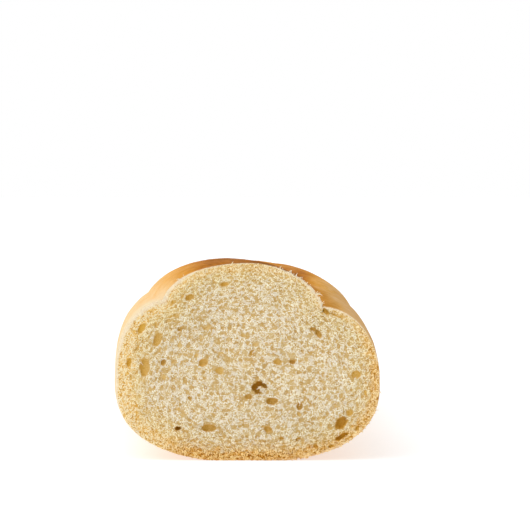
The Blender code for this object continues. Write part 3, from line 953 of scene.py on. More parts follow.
# %% Pattern: one size of air cells
Cells = namedtuple("Cells", "spacing smallest largest share shift")
CELL_SIZES = {
    "wide": Cells(2.7 * MM, 0.24, 0.38, 0.70, 0.0),
    "open": Cells(1.55 * MM, 0.30, 0.46, 0.58, 0.031),
    "fine": Cells(0.95 * MM, 0.26, 0.46, 0.42, 0.057),
}
SCATTER = 0.95             # how far the cells are from a regular grid
BOWL_WALL = (1.05, 0.80)   # from the rim of a bowl to its floor, as a share of its radius


def air_cells(tree, place, cells):
    """The bowl (0 on the web, 1 in its middle) and a random number for each cell."""
    place = vector_calc(tree, "ADD", place, (cells.shift, 0.0, 0.0))
    inputs = {"Vector": place, "Scale": 1.0 / cells.spacing, "Randomness": SCATTER}
    made = add_node(tree, "ShaderNodeTexVoronoi", inputs, voronoi_dimensions="2D")
    wide, opened, deep = parts_of(tree, made.outputs["Color"])
    wide = calc(tree, "MULTIPLY_ADD", wide, cells.largest - cells.smallest, cells.smallest)
    bowl = fade(tree, calc(tree, "DIVIDE", made.outputs["Distance"], wide), *BOWL_WALL)
    return times(tree, bowl, calc(tree, "LESS_THAN", opened, cells.share)), deep


def sunk(tree, pattern, name, least, more):
    """How far cells of one size are sunk: at least so much, and up to so much more by the cell."""
    bowl, deep = pattern[name]
    return times(tree, bowl, calc(tree, "MULTIPLY_ADD", deep, more, least))


# %% Pattern: the whole crumb
SQUEEZE, SQUEEZE_POWER = 0.40, 3.0         # how strongly at the rim, and how suddenly it grows
STIR, STIR_SIZE = 0.5 * MM, 1.5 * MM       # how far noise moves a place, and how large its clouds are
TORN_SIZE, TORN_EDGE = 1.6 * MM, (0.54, 0.60)     # torn where the clouds are this thick
THREAD_SIZE, THREAD_WIDTH = 1.0 * MM, 0.050       # the width is in the clouds' own values
LINE_CORE = 0.2            # of a line's width, over which it is at its full height


def flat_place(tree, position, share):
    """The place on the flat face, as x and y of a drawing, squeezed towards the crust."""
    across, _, up = parts_of(tree, vector_calc(tree, "SUBTRACT", position, tuple(core + to_frame)))
    grown = calc(tree, "MULTIPLY_ADD", calc(tree, "POWER", share, SQUEEZE_POWER), SQUEEZE, 1.0)
    return vector_calc(tree, "SCALE", joined(tree, across, up), grown)


def winding_lines(tree, place, size, width):
    """Thin lines that wind between clouds of the given size: 1 on the line, 0 beside it."""
    off_line = calc(tree, "ABSOLUTE", swing(tree, place, size, detail=3.0))
    return fade(tree, off_line, width, LINE_CORE * width)


def crumb_pattern(tree, position, share):
    """The bowls of every size with their random depths, torn patches and thin threads."""
    flat = flat_place(tree, position, share)
    place = stirred(tree, flat, STIR, STIR_SIZE)
    made = {name: air_cells(tree, place, cells) for name, cells in CELL_SIZES.items()}
    made["torn"] = fade(tree, clouds(tree, flat, TORN_SIZE, detail=3.0, roughness=0.6), *TORN_EDGE)
    made["thread"] = winding_lines(tree, flat, THREAD_SIZE, THREAD_WIDTH)
    return made


# %% [markdown]
# ### Carving the crumb
# On the real face the saw opened the cells and tore the web between them. The tree reads the
# pattern and the named holes, and pushes every point of the flat face in by the depth that it
# finds there. That keeps one closed mesh of even squares, where cut-out cells would leave edges
# that shade badly. It also nibbles at the ragged edge, and keeps what it found as fields.

# %% Tree: the inputs of the carving
HOLE_WALL = (1.20, 0.60)       # from outside a named hole's edge to its floor, 1 at the edge
CLEAR_OF_HOLE = (1.0, 1.5)     # the pattern's cells begin outside it
IN_BAND = (0.8, 1.3, 0.35, 1.0)    # in the toasted band they are shallower (from, to, low, high)
FILLED_WHERE_TORN = -0.55      # and so they are where the crumb is torn
RELIEF = (0.45, 0.7)           # least depth of a cell, and what its random depth adds
FINE_IN_HOLE = -0.7            # the fine cells fade out in a named hole
RAGGED_SIZE = 0.55 * MM
RAGGED_BY_DEPTH = (0.9 * MM, 0.2 * MM, 0.3, 1.0)    # deep down the crumb is smoother
RELIEF_AT_RIM = (0.05 * MM, 0.9 * MM, 0.2, 1.0)     # and flatter at the very rim
LEVEL = 0.10 * MM              # the web itself lies this far behind the saw's plane
STIR_AT_EDGE = (1.2 * MM, 3.0, 0.65)      # size, detail and roughness of what stirs a hole's edge
BITE = (0.9 * MM, 3.0, 0.65)   # the same for the bits that are missing from the loaf's edge,
BITE_EDGE = (0.42, 0.62)       # where those clouds are thick
carve, start, end = geometry_tree("carve_crumb", {
    "Large Holes": (OBJECT, None),
    "Small Holes": (OBJECT, None),
    "Wide Depth": (FLOAT, 0.20 * MM),
    "Open Depth": (FLOAT, 0.18 * MM),
    "Fine Depth": (FLOAT, 0.10 * MM),
    "Thread Lift": (FLOAT, 0.16 * MM),
    "Ragged": (FLOAT, 0.42 * MM),
    "Hole Stir": (FLOAT, 0.8 * MM),
    "Small Hole Stir": (FLOAT, 0.7 * MM),
    "Ragged Edge": (FLOAT, 0.45 * MM),
    "Edge Reach": (FLOAT, 1.6 * MM),
})
tree = carve
position = position_in(tree)
pattern = crumb_pattern(tree, position, named_field(tree, "share"))


# %% Tree: the nearest named hole, an ellipse with a stirred edge
def nearest_hole(holes, stir_by):
    """How far out in the nearest hole this is (1 at its edge), its depth and the place across it."""
    centres = geometry_of(tree, holes)
    place = stirred(tree, position, stir_by, *STIR_AT_EDGE)
    inputs = {"Geometry": centres, "Sample Position": place}
    nearest = add_node(tree, "GeometryNodeSampleNearest", inputs, domain="POINT").outputs[0]

    def of_nearest(value, kind="FLOAT"):
        inputs = {"Geometry": centres, "Value": value, "Index": nearest}
        return add_node(tree, "GeometryNodeSampleIndex", inputs, data_type=kind, domain="POINT").outputs[0]

    centre = of_nearest(position_in(tree), "FLOAT_VECTOR")
    offset = vector_calc(tree, "SUBTRACT", place, centre)
    inputs = {"Vector": offset, "Angle": calc(tree, "RADIANS", of_nearest(named_field(tree, "tilt")))}
    turned = add_node(tree, "ShaderNodeVectorRotate", inputs, rotation_type="Y_AXIS").outputs[0]
    u, _, w = parts_of(tree, turned)
    short = of_nearest(named_field(tree, "short"))
    u = calc(tree, "DIVIDE", u, of_nearest(named_field(tree, "long")))
    w = calc(tree, "DIVIDE", w, short)
    oval = calc(tree, "SQRT", calc(tree, "ADD", times(tree, u, u), times(tree, w, w)))
    depth = times(tree, fade(tree, oval, *HOLE_WALL), of_nearest(named_field(tree, "depth")))
    return oval, depth, calc(tree, "DIVIDE", parts_of(tree, offset)[0], short)


large_oval, large_depth, large_side = nearest_hole(start["Large Holes"], start["Hole Stir"])
small_oval, small_depth, small_side = nearest_hole(start["Small Holes"], start["Small Hole Stir"])
oval = calc(tree, "MINIMUM", large_oval, small_oval)
named = fade(tree, oval, *HOLE_WALL)
named_depth = largest(tree, large_depth, small_depth)
in_small = calc(tree, "GREATER_THAN", small_depth, large_depth)
side = calc(tree, "MULTIPLY_ADD", in_small, calc(tree, "SUBTRACT", small_side, large_side), large_side)

# %% Tree: all bowls, threads and raggedness together, as one push into the face
wide, opened, fine = (
    times(tree, sunk(tree, pattern, name, *RELIEF), start[f"{name.title()} Depth"]) for name in CELL_SIZES)
whole = calc(tree, "MULTIPLY_ADD", pattern["torn"], FILLED_WHERE_TORN, 1.0)
clear = times(tree, fade(tree, oval, *CLEAR_OF_HOLE), fade(tree, named_field(tree, "band"), *IN_BAND), whole)
total = largest(tree, times(tree, largest(tree, wide, opened), clear), named_depth)
fine = times(tree, fine, calc(tree, "MULTIPLY_ADD", named, FINE_IN_HOLE, 1.0))
total = calc(tree, "ADD", total, fine)
lift = times(tree, pattern["thread"], start["Thread Lift"], calc(tree, "MULTIPLY_ADD", named, -1.0, 1.0))
rough = times(tree, swing(tree, position, RAGGED_SIZE), start["Ragged"])
rough = times(tree, rough, fade(tree, total, *RAGGED_BY_DEPTH))
at_rim = fade(tree, named_field(tree, "rim"), *RELIEF_AT_RIM)
push = times(tree, calc(tree, "SUBTRACT", calc(tree, "ADD", total, rough), lift), at_rim)
push = calc(tree, "MAXIMUM", calc(tree, "ADD", push, LEVEL), 0.0)
push = times(tree, push, named_field(tree, "face"))


# %% Tree: bits missing from the frayed or crumbled edge, and the end of the carving
def outward_in_face(tree):
    """The direction in the face from the loaf's core to this point."""
    offset = vector_calc(tree, "SUBTRACT", position_in(tree), tuple(core + to_frame))
    flat = vector_calc(tree, "MULTIPLY", offset, (1.0, 0.0, 1.0))
    return vector_calc(tree, "NORMALIZE", flat, (0.0, 0.0, 0.0))


across, _, up = parts_of(tree, position)
missing = fade(tree, clouds(tree, joined(tree, across, 0.0, up), *BITE), *BITE_EDGE)
missing = times(tree, missing, named_field(tree, "ragged"), start["Ragged Edge"])
missing = times(tree, missing, fade(tree, named_field(tree, "rim"), start["Edge Reach"], 0.0, 0.0, -1.0))
offset = vector_calc(tree, "SCALE", outward_in_face(tree), missing)
offset = vector_calc(tree, "ADD", offset, joined(tree, y=push))
kept = start["Geometry"]
for name, value in (("named", named_depth), ("side", side), ("torn", pattern["torn"])):
    kept = keep_field(tree, kept, name, value)
moved = add_node(tree, "GeometryNodeSetPosition", {"Geometry": kept, "Offset": offset})
finish_tree(tree, end, moved.outputs[0], start["Material"])

# %% [markdown]
# ### Finish of the crumb
# Crumb is matt and lets light wander in it, so its deep cells glow tan and its thin threads look almost
# white. Real light inside the crumb would take very long to render, so this glow and the shade in the cells
# are painted. The material writes the same pattern again at full sharpness, adds specks that are finer than
# the mesh, and runs all of it through one ramp of shades. The toasted edge has two ramps of its own, golden
# and brown.

# %% The crumb's tone, from 0 on the palest threads to 1 in the deepest cells, with painted shade in the cells
TONES = {"wide": (0.18, 0.20), "open": (0.18, 0.24), "fine": (0.14, 0.14)}    # (least, more)
TORN_TONE = -0.6          # torn places hide the cells
FLUFF_SIZE, FLUFF = 0.34 * MM, 3.1     # how strongly the finest specks count,
FLUFF_BY_CELL = (0.05, 0.24, 1.15, 0.20)    # which is most on the web and least in a cell
WOOL_SIZE, WOOL = 1.2 * MM, 0.12       # and the soft tufts a little larger
WEB_TONE = 0.279
THREAD_TONE = -0.10
HAIR_SIZE, HAIR_WIDTH, HAIR_TONE = 0.8 * MM, 0.040, -0.12      # threads too thin for the mesh
crumb_material, tree, shader, place = new_material("crumb", roughness=0.9, specular=0.12)
pattern = crumb_pattern(tree, place, surface_field(tree, "share"))
torn = pattern["torn"]
cell = largest(tree, *(sunk(tree, pattern, name, *tones) for name, tones in TONES.items()))
cell = times(tree, cell, calc(tree, "MULTIPLY_ADD", torn, TORN_TONE, 1.0))
fluff = times(tree, swing(tree, place, FLUFF_SIZE, roughness=0.7), FLUFF)
fluff = times(tree, fluff, fade(tree, cell, *FLUFF_BY_CELL))
wool = times(tree, swing(tree, place, WOOL_SIZE), WOOL)
tone = calc(tree, "ADD", calc(tree, "ADD", cell, fluff), calc(tree, "ADD", wool, WEB_TONE))
tone = calc(tree, "MULTIPLY_ADD", pattern["thread"], THREAD_TONE, tone)
tone = calc(tree, "MULTIPLY_ADD", winding_lines(tree, place, HAIR_SIZE, HAIR_WIDTH), HAIR_TONE, tone)

# %% The web, its torn flakes, and the honey colour that it takes on towards the crust
FLAKE_TONE = (-0.12, 0.97)     # how bright a flake is: its change with the fluff, and without it
FLAKE_COVER = (1.00, 0.45, 0.0, 0.80)       # deep cells show through the flakes
HONEY = 0.95
HONEY_REACH = (12 * MM, 1 * MM)
HONEY_BY_BROWN = -0.70         # less so where the edge is brown
HONEY_TINT = (1.0, 0.94, 0.66, 1.0)
PATCH_SIZE, HONEY_PATCHES = 2.8 * MM, 0.9   # and unevenly so all over
shade = ramp(tree, tone, CRUMB_SHADES)
flake = vector_calc(tree, "SCALE", TORN_SHADE[:3], calc(tree, "MULTIPLY_ADD", fluff, *FLAKE_TONE))
shade = blend_colour(tree, times(tree, torn, fade(tree, tone, *FLAKE_COVER)), shade, flake)
toast, to_rim = surface_field(tree, "toast"), surface_field(tree, "rim")
less = calc(tree, "MULTIPLY_ADD", surface_field(tree, "brown"), HONEY_BY_BROWN, 1.0)
honey = times(tree, fade(tree, to_rim, *HONEY_REACH), toast, less, HONEY)
honey = calc(tree, "MULTIPLY_ADD", swing(tree, place, PATCH_SIZE), HONEY_PATCHES, honey)
shade = vector_calc(tree, "MULTIPLY", shade, blend_colour(tree, honey, WHITE, HONEY_TINT))

# %% The toasted band
BORDER_SIZE, BORDER = 1.6 * MM, 1.6     # its inner border is cloudy
BAND_EDGE = (1.20, 0.60)       # from outside the band to well inside it, in widths of the band
HALO = (2.1, 0.9, 0.0, 0.35)   # a faint halo reaches further in
SAND_SIZE, SAND = 0.6 * MM, 2.0         # the toasted edge is sandier
SANDY_FLUFF = 0.6
band = surface_field(tree, "band")
border = times(tree, swing(tree, place, BORDER_SIZE, detail=3.0), BORDER)
toasted = fade(tree, calc(tree, "ADD", band, border), *BAND_EDGE)
toasted = times(tree, largest(tree, toasted, fade(tree, band, *HALO)), toast)
sandy = calc(tree, "MULTIPLY_ADD", swing(tree, place, SAND_SIZE), SAND, tone)
sandy = calc(tree, "MULTIPLY_ADD", fluff, SANDY_FLUFF, sandy)
gold, brown = ramp(tree, sandy, GOLD_BAND_SHADES), ramp(tree, sandy, BROWN_BAND_SHADES)
band_shade = blend_colour(tree, surface_field(tree, "brown"), gold, brown)
shade = blend_colour(tree, toasted, shade, band_shade)

# %% The dense cream-coloured crumb at the rim
CREAM_CLOUD = 0.8 * MM         # how far its border wanders
CREAM_EDGE = (1.3, 0.5, 0.0, 0.8)       # in widths of the cream
CREAM_TONE = (-0.16, 0.98)
cream_reach = calc(tree, "ADD", surface_field(tree, "cream"), 0.01 * MM)    # never quite 0
cream = calc(tree, "DIVIDE", calc(tree, "MULTIPLY_ADD", border, CREAM_CLOUD, to_rim), cream_reach)
cream_shade = vector_calc(tree, "SCALE", CREAM_SHADE[:3], calc(tree, "MULTIPLY_ADD", fluff, *CREAM_TONE))
shade = blend_colour(tree, fade(tree, cream, *CREAM_EDGE), shade, cream_shade)

# %% The named holes: painted shade on their left wall and more of it the deeper they are, and golden near the crust
# painted shade: a hole's left wall faces away from the lamp, and the deepest holes are darkened as if in
# shadow
SHADED_SIDE = (0.4, -1.0, 0.26, 0.48)
DEEP_TONE = (0.7 * MM, 1.4 * MM, 0.0, 0.18)
SHALLOW_TONE = (0.25 * MM, 0.60 * MM, -0.16, 0.0)
FLUFF_IN_HOLE = 0.5
GILT_REACH = (9 * MM, 1.5 * MM)
GILT_TINT = (1.0, 0.88, 0.42, 1.0)
HOLE_COVER = (0.06 * MM, 0.50 * MM)     # depths over which a hole takes on its own colour,
SHADOWED_DEPTHS = (1.0 * MM, 2.2 * MM)       # and the deepest turn dark
depth = surface_field(tree, "named")
hole_tone = fade(tree, surface_field(tree, "side"), *SHADED_SIDE)
for by_depth in (DEEP_TONE, SHALLOW_TONE):
    hole_tone = calc(tree, "ADD", hole_tone, fade(tree, depth, *by_depth))
hole_tone = calc(tree, "MULTIPLY_ADD", fluff, FLUFF_IN_HOLE, hole_tone)
gilt = times(tree, fade(tree, to_rim, *GILT_REACH), toast)
hole_tint = blend_colour(tree, gilt, WHITE, GILT_TINT)
hole_shade = vector_calc(tree, "MULTIPLY", ramp(tree, hole_tone, HOLE_SHADES), hole_tint)
shade = blend_colour(tree, fade(tree, depth, *HOLE_COVER), shade, hole_shade)
shade = blend_colour(tree, fade(tree, depth, *SHADOWED_DEPTHS), shade, PAINTED_HOLE_SHADOW)
shade = mottled(tree, shade, place, size=6 * MM, strength=0.045)
tree.links.new(shade, shader["Base Color"])
roughen(tree, shader, place, size=0.4 * MM, distance=0.12 * MM, strength=0.6, sunk=tone)
print("the crumb's shader has", len(tree.nodes), "nodes")

# %% Carve the crumb and lay out its map
# The face lies flat in the map, with its skirt spread out round it. The back, which nobody sees,
# is a small copy in a corner.
BACK_AT, BACK_SIZE = 0.03, 0.02     # its middle on the map, and its radius
run_tree(crumb, carve, holes | {"Material": crumb_material})
spread_by = np.cumsum((0.0, FLANGE, NECK_INSET, PLUG_DEPTH))
flat_rings = np.stack([edge - inward * spread for spread in spread_by])[..., (0, 2)]
map_low, map_high = flat_rings.min(axis=(0, 1)), flat_rings.max(axis=(0, 1))
map_size = (map_high - map_low).max()
on_map = (np.concatenate((face[:, (0, 2)],) + tuple(flat_rings[1:])) - map_low) / map_size
round_back = np.stack((np.cos(np.arange(edge_count)), np.sin(np.arange(edge_count))), axis=-1)
store_map(crumb, on_map[np.concatenate(quads)], BACK_AT + BACK_SIZE * round_back)

# %% [markdown]
# ## Torn threads and grains
# A saw doesn't cut crumb cleanly. It pulls out short threads and tiny grains, which lie on the
# face, catch the light and look almost white. A pale fleck in the material would do from the
# front, but from the side only a real little shape stands off the face. Placing thousands by hand
# is no use, so one tree strews tapered threads over the carved face, thickest where it is torn,
# and turns those at the frayed edge outwards. A second one strews grains, and most of those lie
# on the crumbly lower edge.

# %% Helpers for strewing
OFF_HOLES = (0.25 * MM, 0.08 * MM)      # nothing lies where a named hole is deeper than this
ABOVE_FLOOR = (-1.0, -1.0, loaf_low.z)  # the lowest place a bit may take, free in x and y


def random_value(tree, low, high, seed, kind="FLOAT"):
    inputs = {"Min": low, "Max": high, "Seed": seed}
    made = add_node(tree, "FunctionNodeRandomValue", inputs, data_type=kind)
    return next(s for s in made.outputs if s.enabled)


def strewn_points(tree, start, edge_field, at_edge):
    """Random points on the carved face: everywhere, more where it is torn, and most at the edge."""
    density = named_field(tree, "torn")
    density = calc(tree, "MULTIPLY_ADD", density, start["On Torn Places"], start["Everywhere"])
    density = calc(tree, "MULTIPLY_ADD", edge_field, at_edge, density)
    off_holes = fade(tree, named_field(tree, "named"), *OFF_HOLES)
    density = times(tree, density, named_field(tree, "face"), off_holes, 1.0 / MM ** 2)
    inputs = {"Mesh": geometry_of(tree, start["Crumb"]), "Density": density, "Seed": start["Seed"]}
    return add_node(tree, "GeometryNodeDistributePointsOnFaces", inputs).outputs["Points"]


def strewn_copies(tree, points, copy, rotation, scale, bend_size, bend):
    """Copies on the points, made real and then bent out of shape by noise, above the floor."""
    inputs = {"Points": points, "Instance": copy, "Rotation": rotation, "Scale": scale}
    copies = add_node(tree, "GeometryNodeInstanceOnPoints", inputs).outputs[0]
    real = add_node(tree, "GeometryNodeRealizeInstances", {"Geometry": copies}).outputs[0]
    place = stirred(tree, position_in(tree), bend, bend_size, detail=2.0)
    place = vector_calc(tree, "MAXIMUM", place, ABOVE_FLOOR)
    return add_node(tree, "GeometryNodeSetPosition", {"Geometry": real, "Position": place}).outputs[0]


# %% Shreds that the eye picks out
# start (x, z) in mm, direction in degrees from X, length in mm
LOOSE_SHREDS = (
    (2.5, 19.6, 15, 1.0), (2.8, 20.1, -20, 1.2), (3.9, 19.3, 130, 1.2), (3.6, 20.3, 195, 0.9),
    (4.5, 19.7, 165, 1.3), (3.4, 19.0, 60, 1.0), (11.2, 51.1, 62, 1.4), (11.9, 51.2, 85, 1.2),
    (12.0, 50.9, 25, 0.9), (13.2, 50.3, 70, 1.3), (13.6, 50.0, 105, 0.9), (14.2, 49.6, 20, 0.9),
    (15.0, 48.7, 55, 1.0), (15.6, 48.2, 15, 0.8), (17.6, 46.1, 40, 0.8), (20.2, 42.4, 70, 0.9),
    (20.6, 42.0, 20, 0.7), (-14.0, 50.6, 120, 0.8), (-11.6, 51.6, 95, 0.8),
)
SHRED_DEPTH = 0.15 * MM     # behind the sawn face
shred_x, shred_z, shred_turn, shred_length = np.array(LOOSE_SHREDS).T
loose_shreds = carrier("loose_shreds", shred_x, shred_z, SHRED_DEPTH,
                       {"turn": np.radians(shred_turn), "length": shred_length * MM})

# %% Tree: torn threads
torn_threads, start, end = geometry_tree("torn_threads", {
    "Crumb": (OBJECT, None),
    "Shreds": (OBJECT, None),
    "Everywhere": (FLOAT, 0.12),
    "On Torn Places": (FLOAT, 0.60),
    "At Frayed Edge": (FLOAT, 1.5),
    "Outward Pull": (FLOAT, 0.9),
    "Shortest": (FLOAT, 0.4 * MM),
    "Longest": (FLOAT, 1.3 * MM),
    "Thickness Share": (FLOAT, 0.14),
    "Bend": (FLOAT, 0.6 * MM),
    "Seed": (INT, 5),
})
tree = torn_threads

# %% One thread, 1 long: a bent path that tapers
THREAD_STEPS, THREAD_SIDES = 5, 4
THREAD_PATH = {"Start": (0.0, 0.05, 0.0), "Middle": (0.5, -0.22, 0.25), "End": (1.0, -0.10, 0.0)}
THREAD_END = 0.35         # its thickness there, as a share of that at its start
path = add_node(tree, "GeometryNodeCurveQuadraticBezier", {"Resolution": THREAD_STEPS} | THREAD_PATH)
along = add_node(tree, "GeometryNodeSplineParameter").outputs["Factor"]
inputs = {"Resolution": THREAD_SIDES, "Radius": start["Thickness Share"]}
ring = add_node(tree, "GeometryNodeCurvePrimitiveCircle", inputs).outputs[0]
slimmer = fade(tree, along, 0.0, 1.0, 1.0, THREAD_END)
inputs = {"Curve": path.outputs[0], "Profile Curve": ring, "Scale": slimmer, "Fill Caps": True}
thread = add_node(tree, "GeometryNodeCurveToMesh", inputs).outputs[0]

# %% Strew the threads, and add the named shreds
WAYS = (-1.0, -0.5, -1.0), (1.0, 0.0, 1.0)     # a thread's way lies between these, off the face
SHRED_RISE = -0.25         # of a shred's way, off the face
THREAD_BEND_SIZE = 0.6 * MM
frayed = named_field(tree, "frayed")
points = strewn_points(tree, start, frayed, start["At Frayed Edge"])
way = random_value(tree, *WAYS, 1, "FLOAT_VECTOR")
pull = times(tree, frayed, start["Outward Pull"])
way = vector_calc(tree, "ADD", way, vector_calc(tree, "SCALE", outward_in_face(tree), pull))
points = keep_field(tree, points, "way", way, "FLOAT_VECTOR")
points = keep_field(tree, points, "length", random_value(tree, start["Shortest"], start["Longest"], 2))
chosen = add_node(tree, "GeometryNodeMeshToPoints", {"Mesh": geometry_of(tree, start["Shreds"])}).outputs[0]
turn = named_field(tree, "turn")
way = joined(tree, calc(tree, "COSINE", turn), SHRED_RISE, calc(tree, "SINE", turn))
chosen = keep_field(tree, chosen, "way", way, "FLOAT_VECTOR")
both = tree.nodes.new("GeometryNodeJoinGeometry")
for one in (chosen, points):
    tree.links.new(one, both.inputs[0])
inputs = {"Vector": named_field(tree, "way", "FLOAT_VECTOR")}
turned = add_node(tree, "FunctionNodeAlignRotationToVector", inputs, axis="X").outputs[0]
length = named_field(tree, "length")
threads = strewn_copies(tree, both.outputs[0], thread, turned, length, THREAD_BEND_SIZE, start["Bend"])
finish_tree(tree, end, threads, start["Material"])

# %% Tree: grains
crumb_grains, start, end = geometry_tree("crumb_grains", {
    "Crumb": (OBJECT, None),
    "Everywhere": (FLOAT, 0.45),
    "On Torn Places": (FLOAT, 0.9),
    "At Crumbly Edge": (FLOAT, 12.0),
    "Smallest": (FLOAT, 0.05 * MM),
    "Largest": (FLOAT, 0.16 * MM),
    "Larger At Edge": (FLOAT, 1.1),
    "Stand Out": (FLOAT, 0.45 * MM),
    "Bend": (FLOAT, 0.14 * MM),
    "Seed": (INT, 9),
})
tree = crumb_grains

# %% Strew the grains, each a small ball of its own size, stretched, turned and dented
TURNS = (0.0, 0.0, 0.0), (6.28, 6.28, 6.28)    # radians about each axis
STRETCHES = (0.6, 0.6, 0.6), (1.4, 1.4, 1.4)
DENT_SIZE = 0.2 * MM
grain_ball = add_node(tree, "GeometryNodeMeshIcoSphere", {"Radius": 1.0, "Subdivisions": 1}).outputs["Mesh"]
crumbly = named_field(tree, "crumbly")
points = strewn_points(tree, start, crumbly, start["At Crumbly Edge"])
out = times(tree, calc(tree, "MINIMUM", crumbly, 1.0), random_value(tree, 0.0, start["Stand Out"], 3))
inputs = {"Geometry": points, "Offset": vector_calc(tree, "SCALE", outward_in_face(tree), out)}
points = add_node(tree, "GeometryNodeSetPosition", inputs).outputs[0]
turned = random_value(tree, *TURNS, 4, "FLOAT_VECTOR")
uneven = random_value(tree, *STRETCHES, 5, "FLOAT_VECTOR")
radius = random_value(tree, start["Smallest"], start["Largest"], 6)
radius = times(tree, radius, calc(tree, "MULTIPLY_ADD", crumbly, start["Larger At Edge"], 1.0))
size = vector_calc(tree, "SCALE", uneven, radius)
grains = strewn_copies(tree, points, grain_ball, turned, size, DENT_SIZE, start["Bend"])
finish_tree(tree, end, grains, start["Material"])

# %% [markdown]
# ### Finish of the torn bits
# They are the same matt crumb, but thin, so the light comes through and they look paler. Those in
# the toasted edge are bits of browned crumb. One material serves threads and grains alike,
# because it reads the fields that the points took over from the face.

# %% The torn bits' material
IN_TOASTED_EDGE = (1.4, 0.7)        # in widths of the band
TORN_CLOUD, CRUST_BIT_CLOUD = 0.5 * MM, 0.9 * MM
torn_material, tree, shader, place = new_material("torn_crumb", roughness=0.9, specular=0.12)
shade = ramp(tree, clouds(tree, place, TORN_CLOUD), TORN_SHADES)
toasted = fade(tree, surface_field(tree, "band"), *IN_TOASTED_EDGE)
toasted = times(tree, toasted, surface_field(tree, "toast"))
bits = ramp(tree, clouds(tree, place, CRUST_BIT_CLOUD), CRUST_BIT_SHADES)
palest_gold = GOLD_BAND_SHADES[0][1]
bits = blend_colour(tree, surface_field(tree, "brown"), palest_gold, bits)
shade = blend_colour(tree, toasted, shade, bits)
shade = mottled(tree, shade, place, size=1.5 * MM, strength=0.05)
tree.links.new(shade, shader["Base Color"])
roughen(tree, shader, place, size=0.15 * MM, distance=0.02 * MM, strength=0.5)


# %% Strew them, and give every little face a place of its own in the map
FACE_ON_MAP = 0.35          # radius of a face on the map, where each has a square of 1


def store_scattered_map(piece):
    faces = piece.data.polygons
    corners = np.zeros(len(faces), np.int32)
    faces.foreach_get("loop_total", corners)
    side = math.ceil(math.sqrt(len(faces)))
    face_of = np.repeat(np.arange(len(faces)), corners)
    corner = np.arange(len(face_of)) - np.repeat(np.cumsum(corners) - corners, corners)
    turn = 2.0 * math.pi * corner / corners[face_of]
    row, column = np.divmod(face_of, side)
    middle = np.stack((column, row), axis=-1) + 0.5
    store_map(piece, (middle + FACE_ON_MAP * np.stack((np.cos(turn), np.sin(turn)), axis=-1)) / side)


torn_bits = []
for tree, sources in ((torn_threads, {"Shreds": loose_shreds}), (crumb_grains, {})):
    piece = piece_from(tree.name, [(0.0, 0.0, 0.0)], [])
    run_tree(piece, tree, sources | {"Crumb": crumb, "Material": torn_material})
    store_scattered_map(piece)
    torn_bits.append(piece)

# %% [markdown]
# ## Place of the camera, light and floor
# The picture looks almost straight at the sawn face from a little above, with a long lens. The
# light is a bright white studio: a white surround, one very broad lamp high on the left in
# front, and a pale floor that throws light back up. Several area lamps could do the same, but
# each would need its own place and size, and a bright surround is even without any care.

# %% Camera
CAMERA_GAP = 0.700                     # from the sawn face
PICTURE_WIDTH = 145.0928 * MM          # of the plane of the face that the picture takes in
AIM = Vector((4.7 * MM + to_frame[0], FACE_Y, 53.7 * MM))
PITCH = math.radians(2.0)
SENSOR = 36.0
NEAREST, FURTHEST = 0.01, 50.0         # what the camera sees, in metres from it
away = Vector((0.0, -math.cos(PITCH), math.sin(PITCH))) * CAMERA_GAP / math.cos(PITCH)
camera_data = bpy.data.cameras.new("camera")
camera_data.sensor_width = SENSOR
camera_data.lens = SENSOR * away.length / PICTURE_WIDTH
camera_data.clip_start = NEAREST
camera_data.clip_end = FURTHEST
camera = bpy.data.objects.new("camera", camera_data)
bpy.context.scene.collection.objects.link(camera)
camera.location = AIM + away
camera.rotation_euler = (math.radians(90.0) - PITCH, 0.0, 0.0)
bpy.context.scene.camera = camera
print("lens", round(camera_data.lens, 1), "mm")

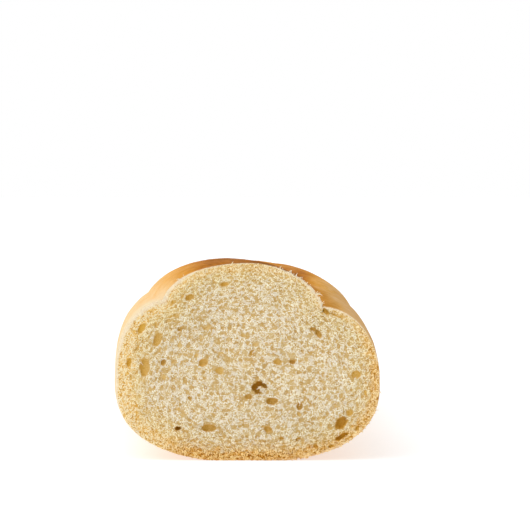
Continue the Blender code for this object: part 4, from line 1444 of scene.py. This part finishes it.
# %% Surround
SURROUND = 0.82              # what lights the loaf
DARK_SIDE = 0.35             # the room to the right of the loaf is this much of that,
DARK_FROM = (0.35, 1.0)      # from here on (0 straight ahead, 1 at right angles to it)
BACKDROP = 1.0               # what the camera sees behind it
world = bpy.data.worlds.new("studio")
bpy.context.scene.world = world
world.use_nodes = True
tree = world.node_tree
rays = tree.nodes.new("ShaderNodeLightPath")
to_the_right = parts_of(tree, tree.nodes.new("ShaderNodeTexCoord").outputs["Object"])[0]
around = fade(tree, to_the_right, *DARK_FROM, SURROUND, SURROUND * DARK_SIDE)
seen = calc(tree, "SUBTRACT", BACKDROP, around)
strength = calc(tree, "MULTIPLY_ADD", rays.outputs["Is Camera Ray"], seen, around)
tree.links.new(strength, tree.nodes["Background"].inputs["Strength"])
tree.nodes["Background"].inputs["Color"].default_value = WHITE
print("surround", SURROUND, "and", round(SURROUND * DARK_SIDE, 2), "on the right")

# %% Lamp
LAMP_STRENGTH = 0.80
LAMP_BREADTH = 42.0          # degrees of sky that it fills
LAMP_HEIGHT = 56.0           # degrees above the floor
LAMP_SIDE = 38.0             # degrees to the left of the camera
lamp_data = bpy.data.lights.new("broad_lamp", "SUN")
lamp_data.energy = LAMP_STRENGTH
lamp_data.angle = math.radians(LAMP_BREADTH)
lamp = bpy.data.objects.new("broad_lamp", lamp_data)
bpy.context.scene.collection.objects.link(lamp)
lamp.rotation_euler = (math.radians(90.0 - LAMP_HEIGHT), 0.0, -math.radians(LAMP_SIDE))
print("lamp", LAMP_HEIGHT, "degrees up and", LAMP_SIDE, "to the left")

# %% Floor
FLOOR_REACH = 8.0
FLOOR_SHADE = (0.53, 0.55, 0.58, 1.0)
FLOOR_GLOW = 0.60            # its own light keeps it as pale as the backdrop
corners = [(x * FLOOR_REACH, y * FLOOR_REACH, loaf_low.z) for x, y in ((-1, -1), (1, -1), (1, 1), (-1, 1))]
floor = piece_from("floor", corners, [(0, 1, 2, 3)])
floor_material, _, shader, _ = new_material("pale_floor", roughness=0.95, specular=0.1)
shader["Base Color"].default_value = FLOOR_SHADE
shader["Emission Color"].default_value = WHITE
shader["Emission Strength"].default_value = FLOOR_GLOW
floor.data.materials.append(floor_material)
bpy.context.scene.view_settings.view_transform = "Standard"
print("floor", 2 * FLOOR_REACH, "m wide")

# %% [markdown]
# ## Hand the pieces over
# All the pieces are one rigid loaf, so each of them rides on its only body. Together they stand
# for the plain solid, which isn't shown any more. They could be joined into one mesh, but
# separate pieces keep a finish and a map of their own.

# %% Hand the pieces over
for piece, slot in [(crust, "crust"), (crumb, "crumb")] + [(bits, "crumb") for bits in torn_bits]:
    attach(piece, "root")
    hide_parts("loaf")
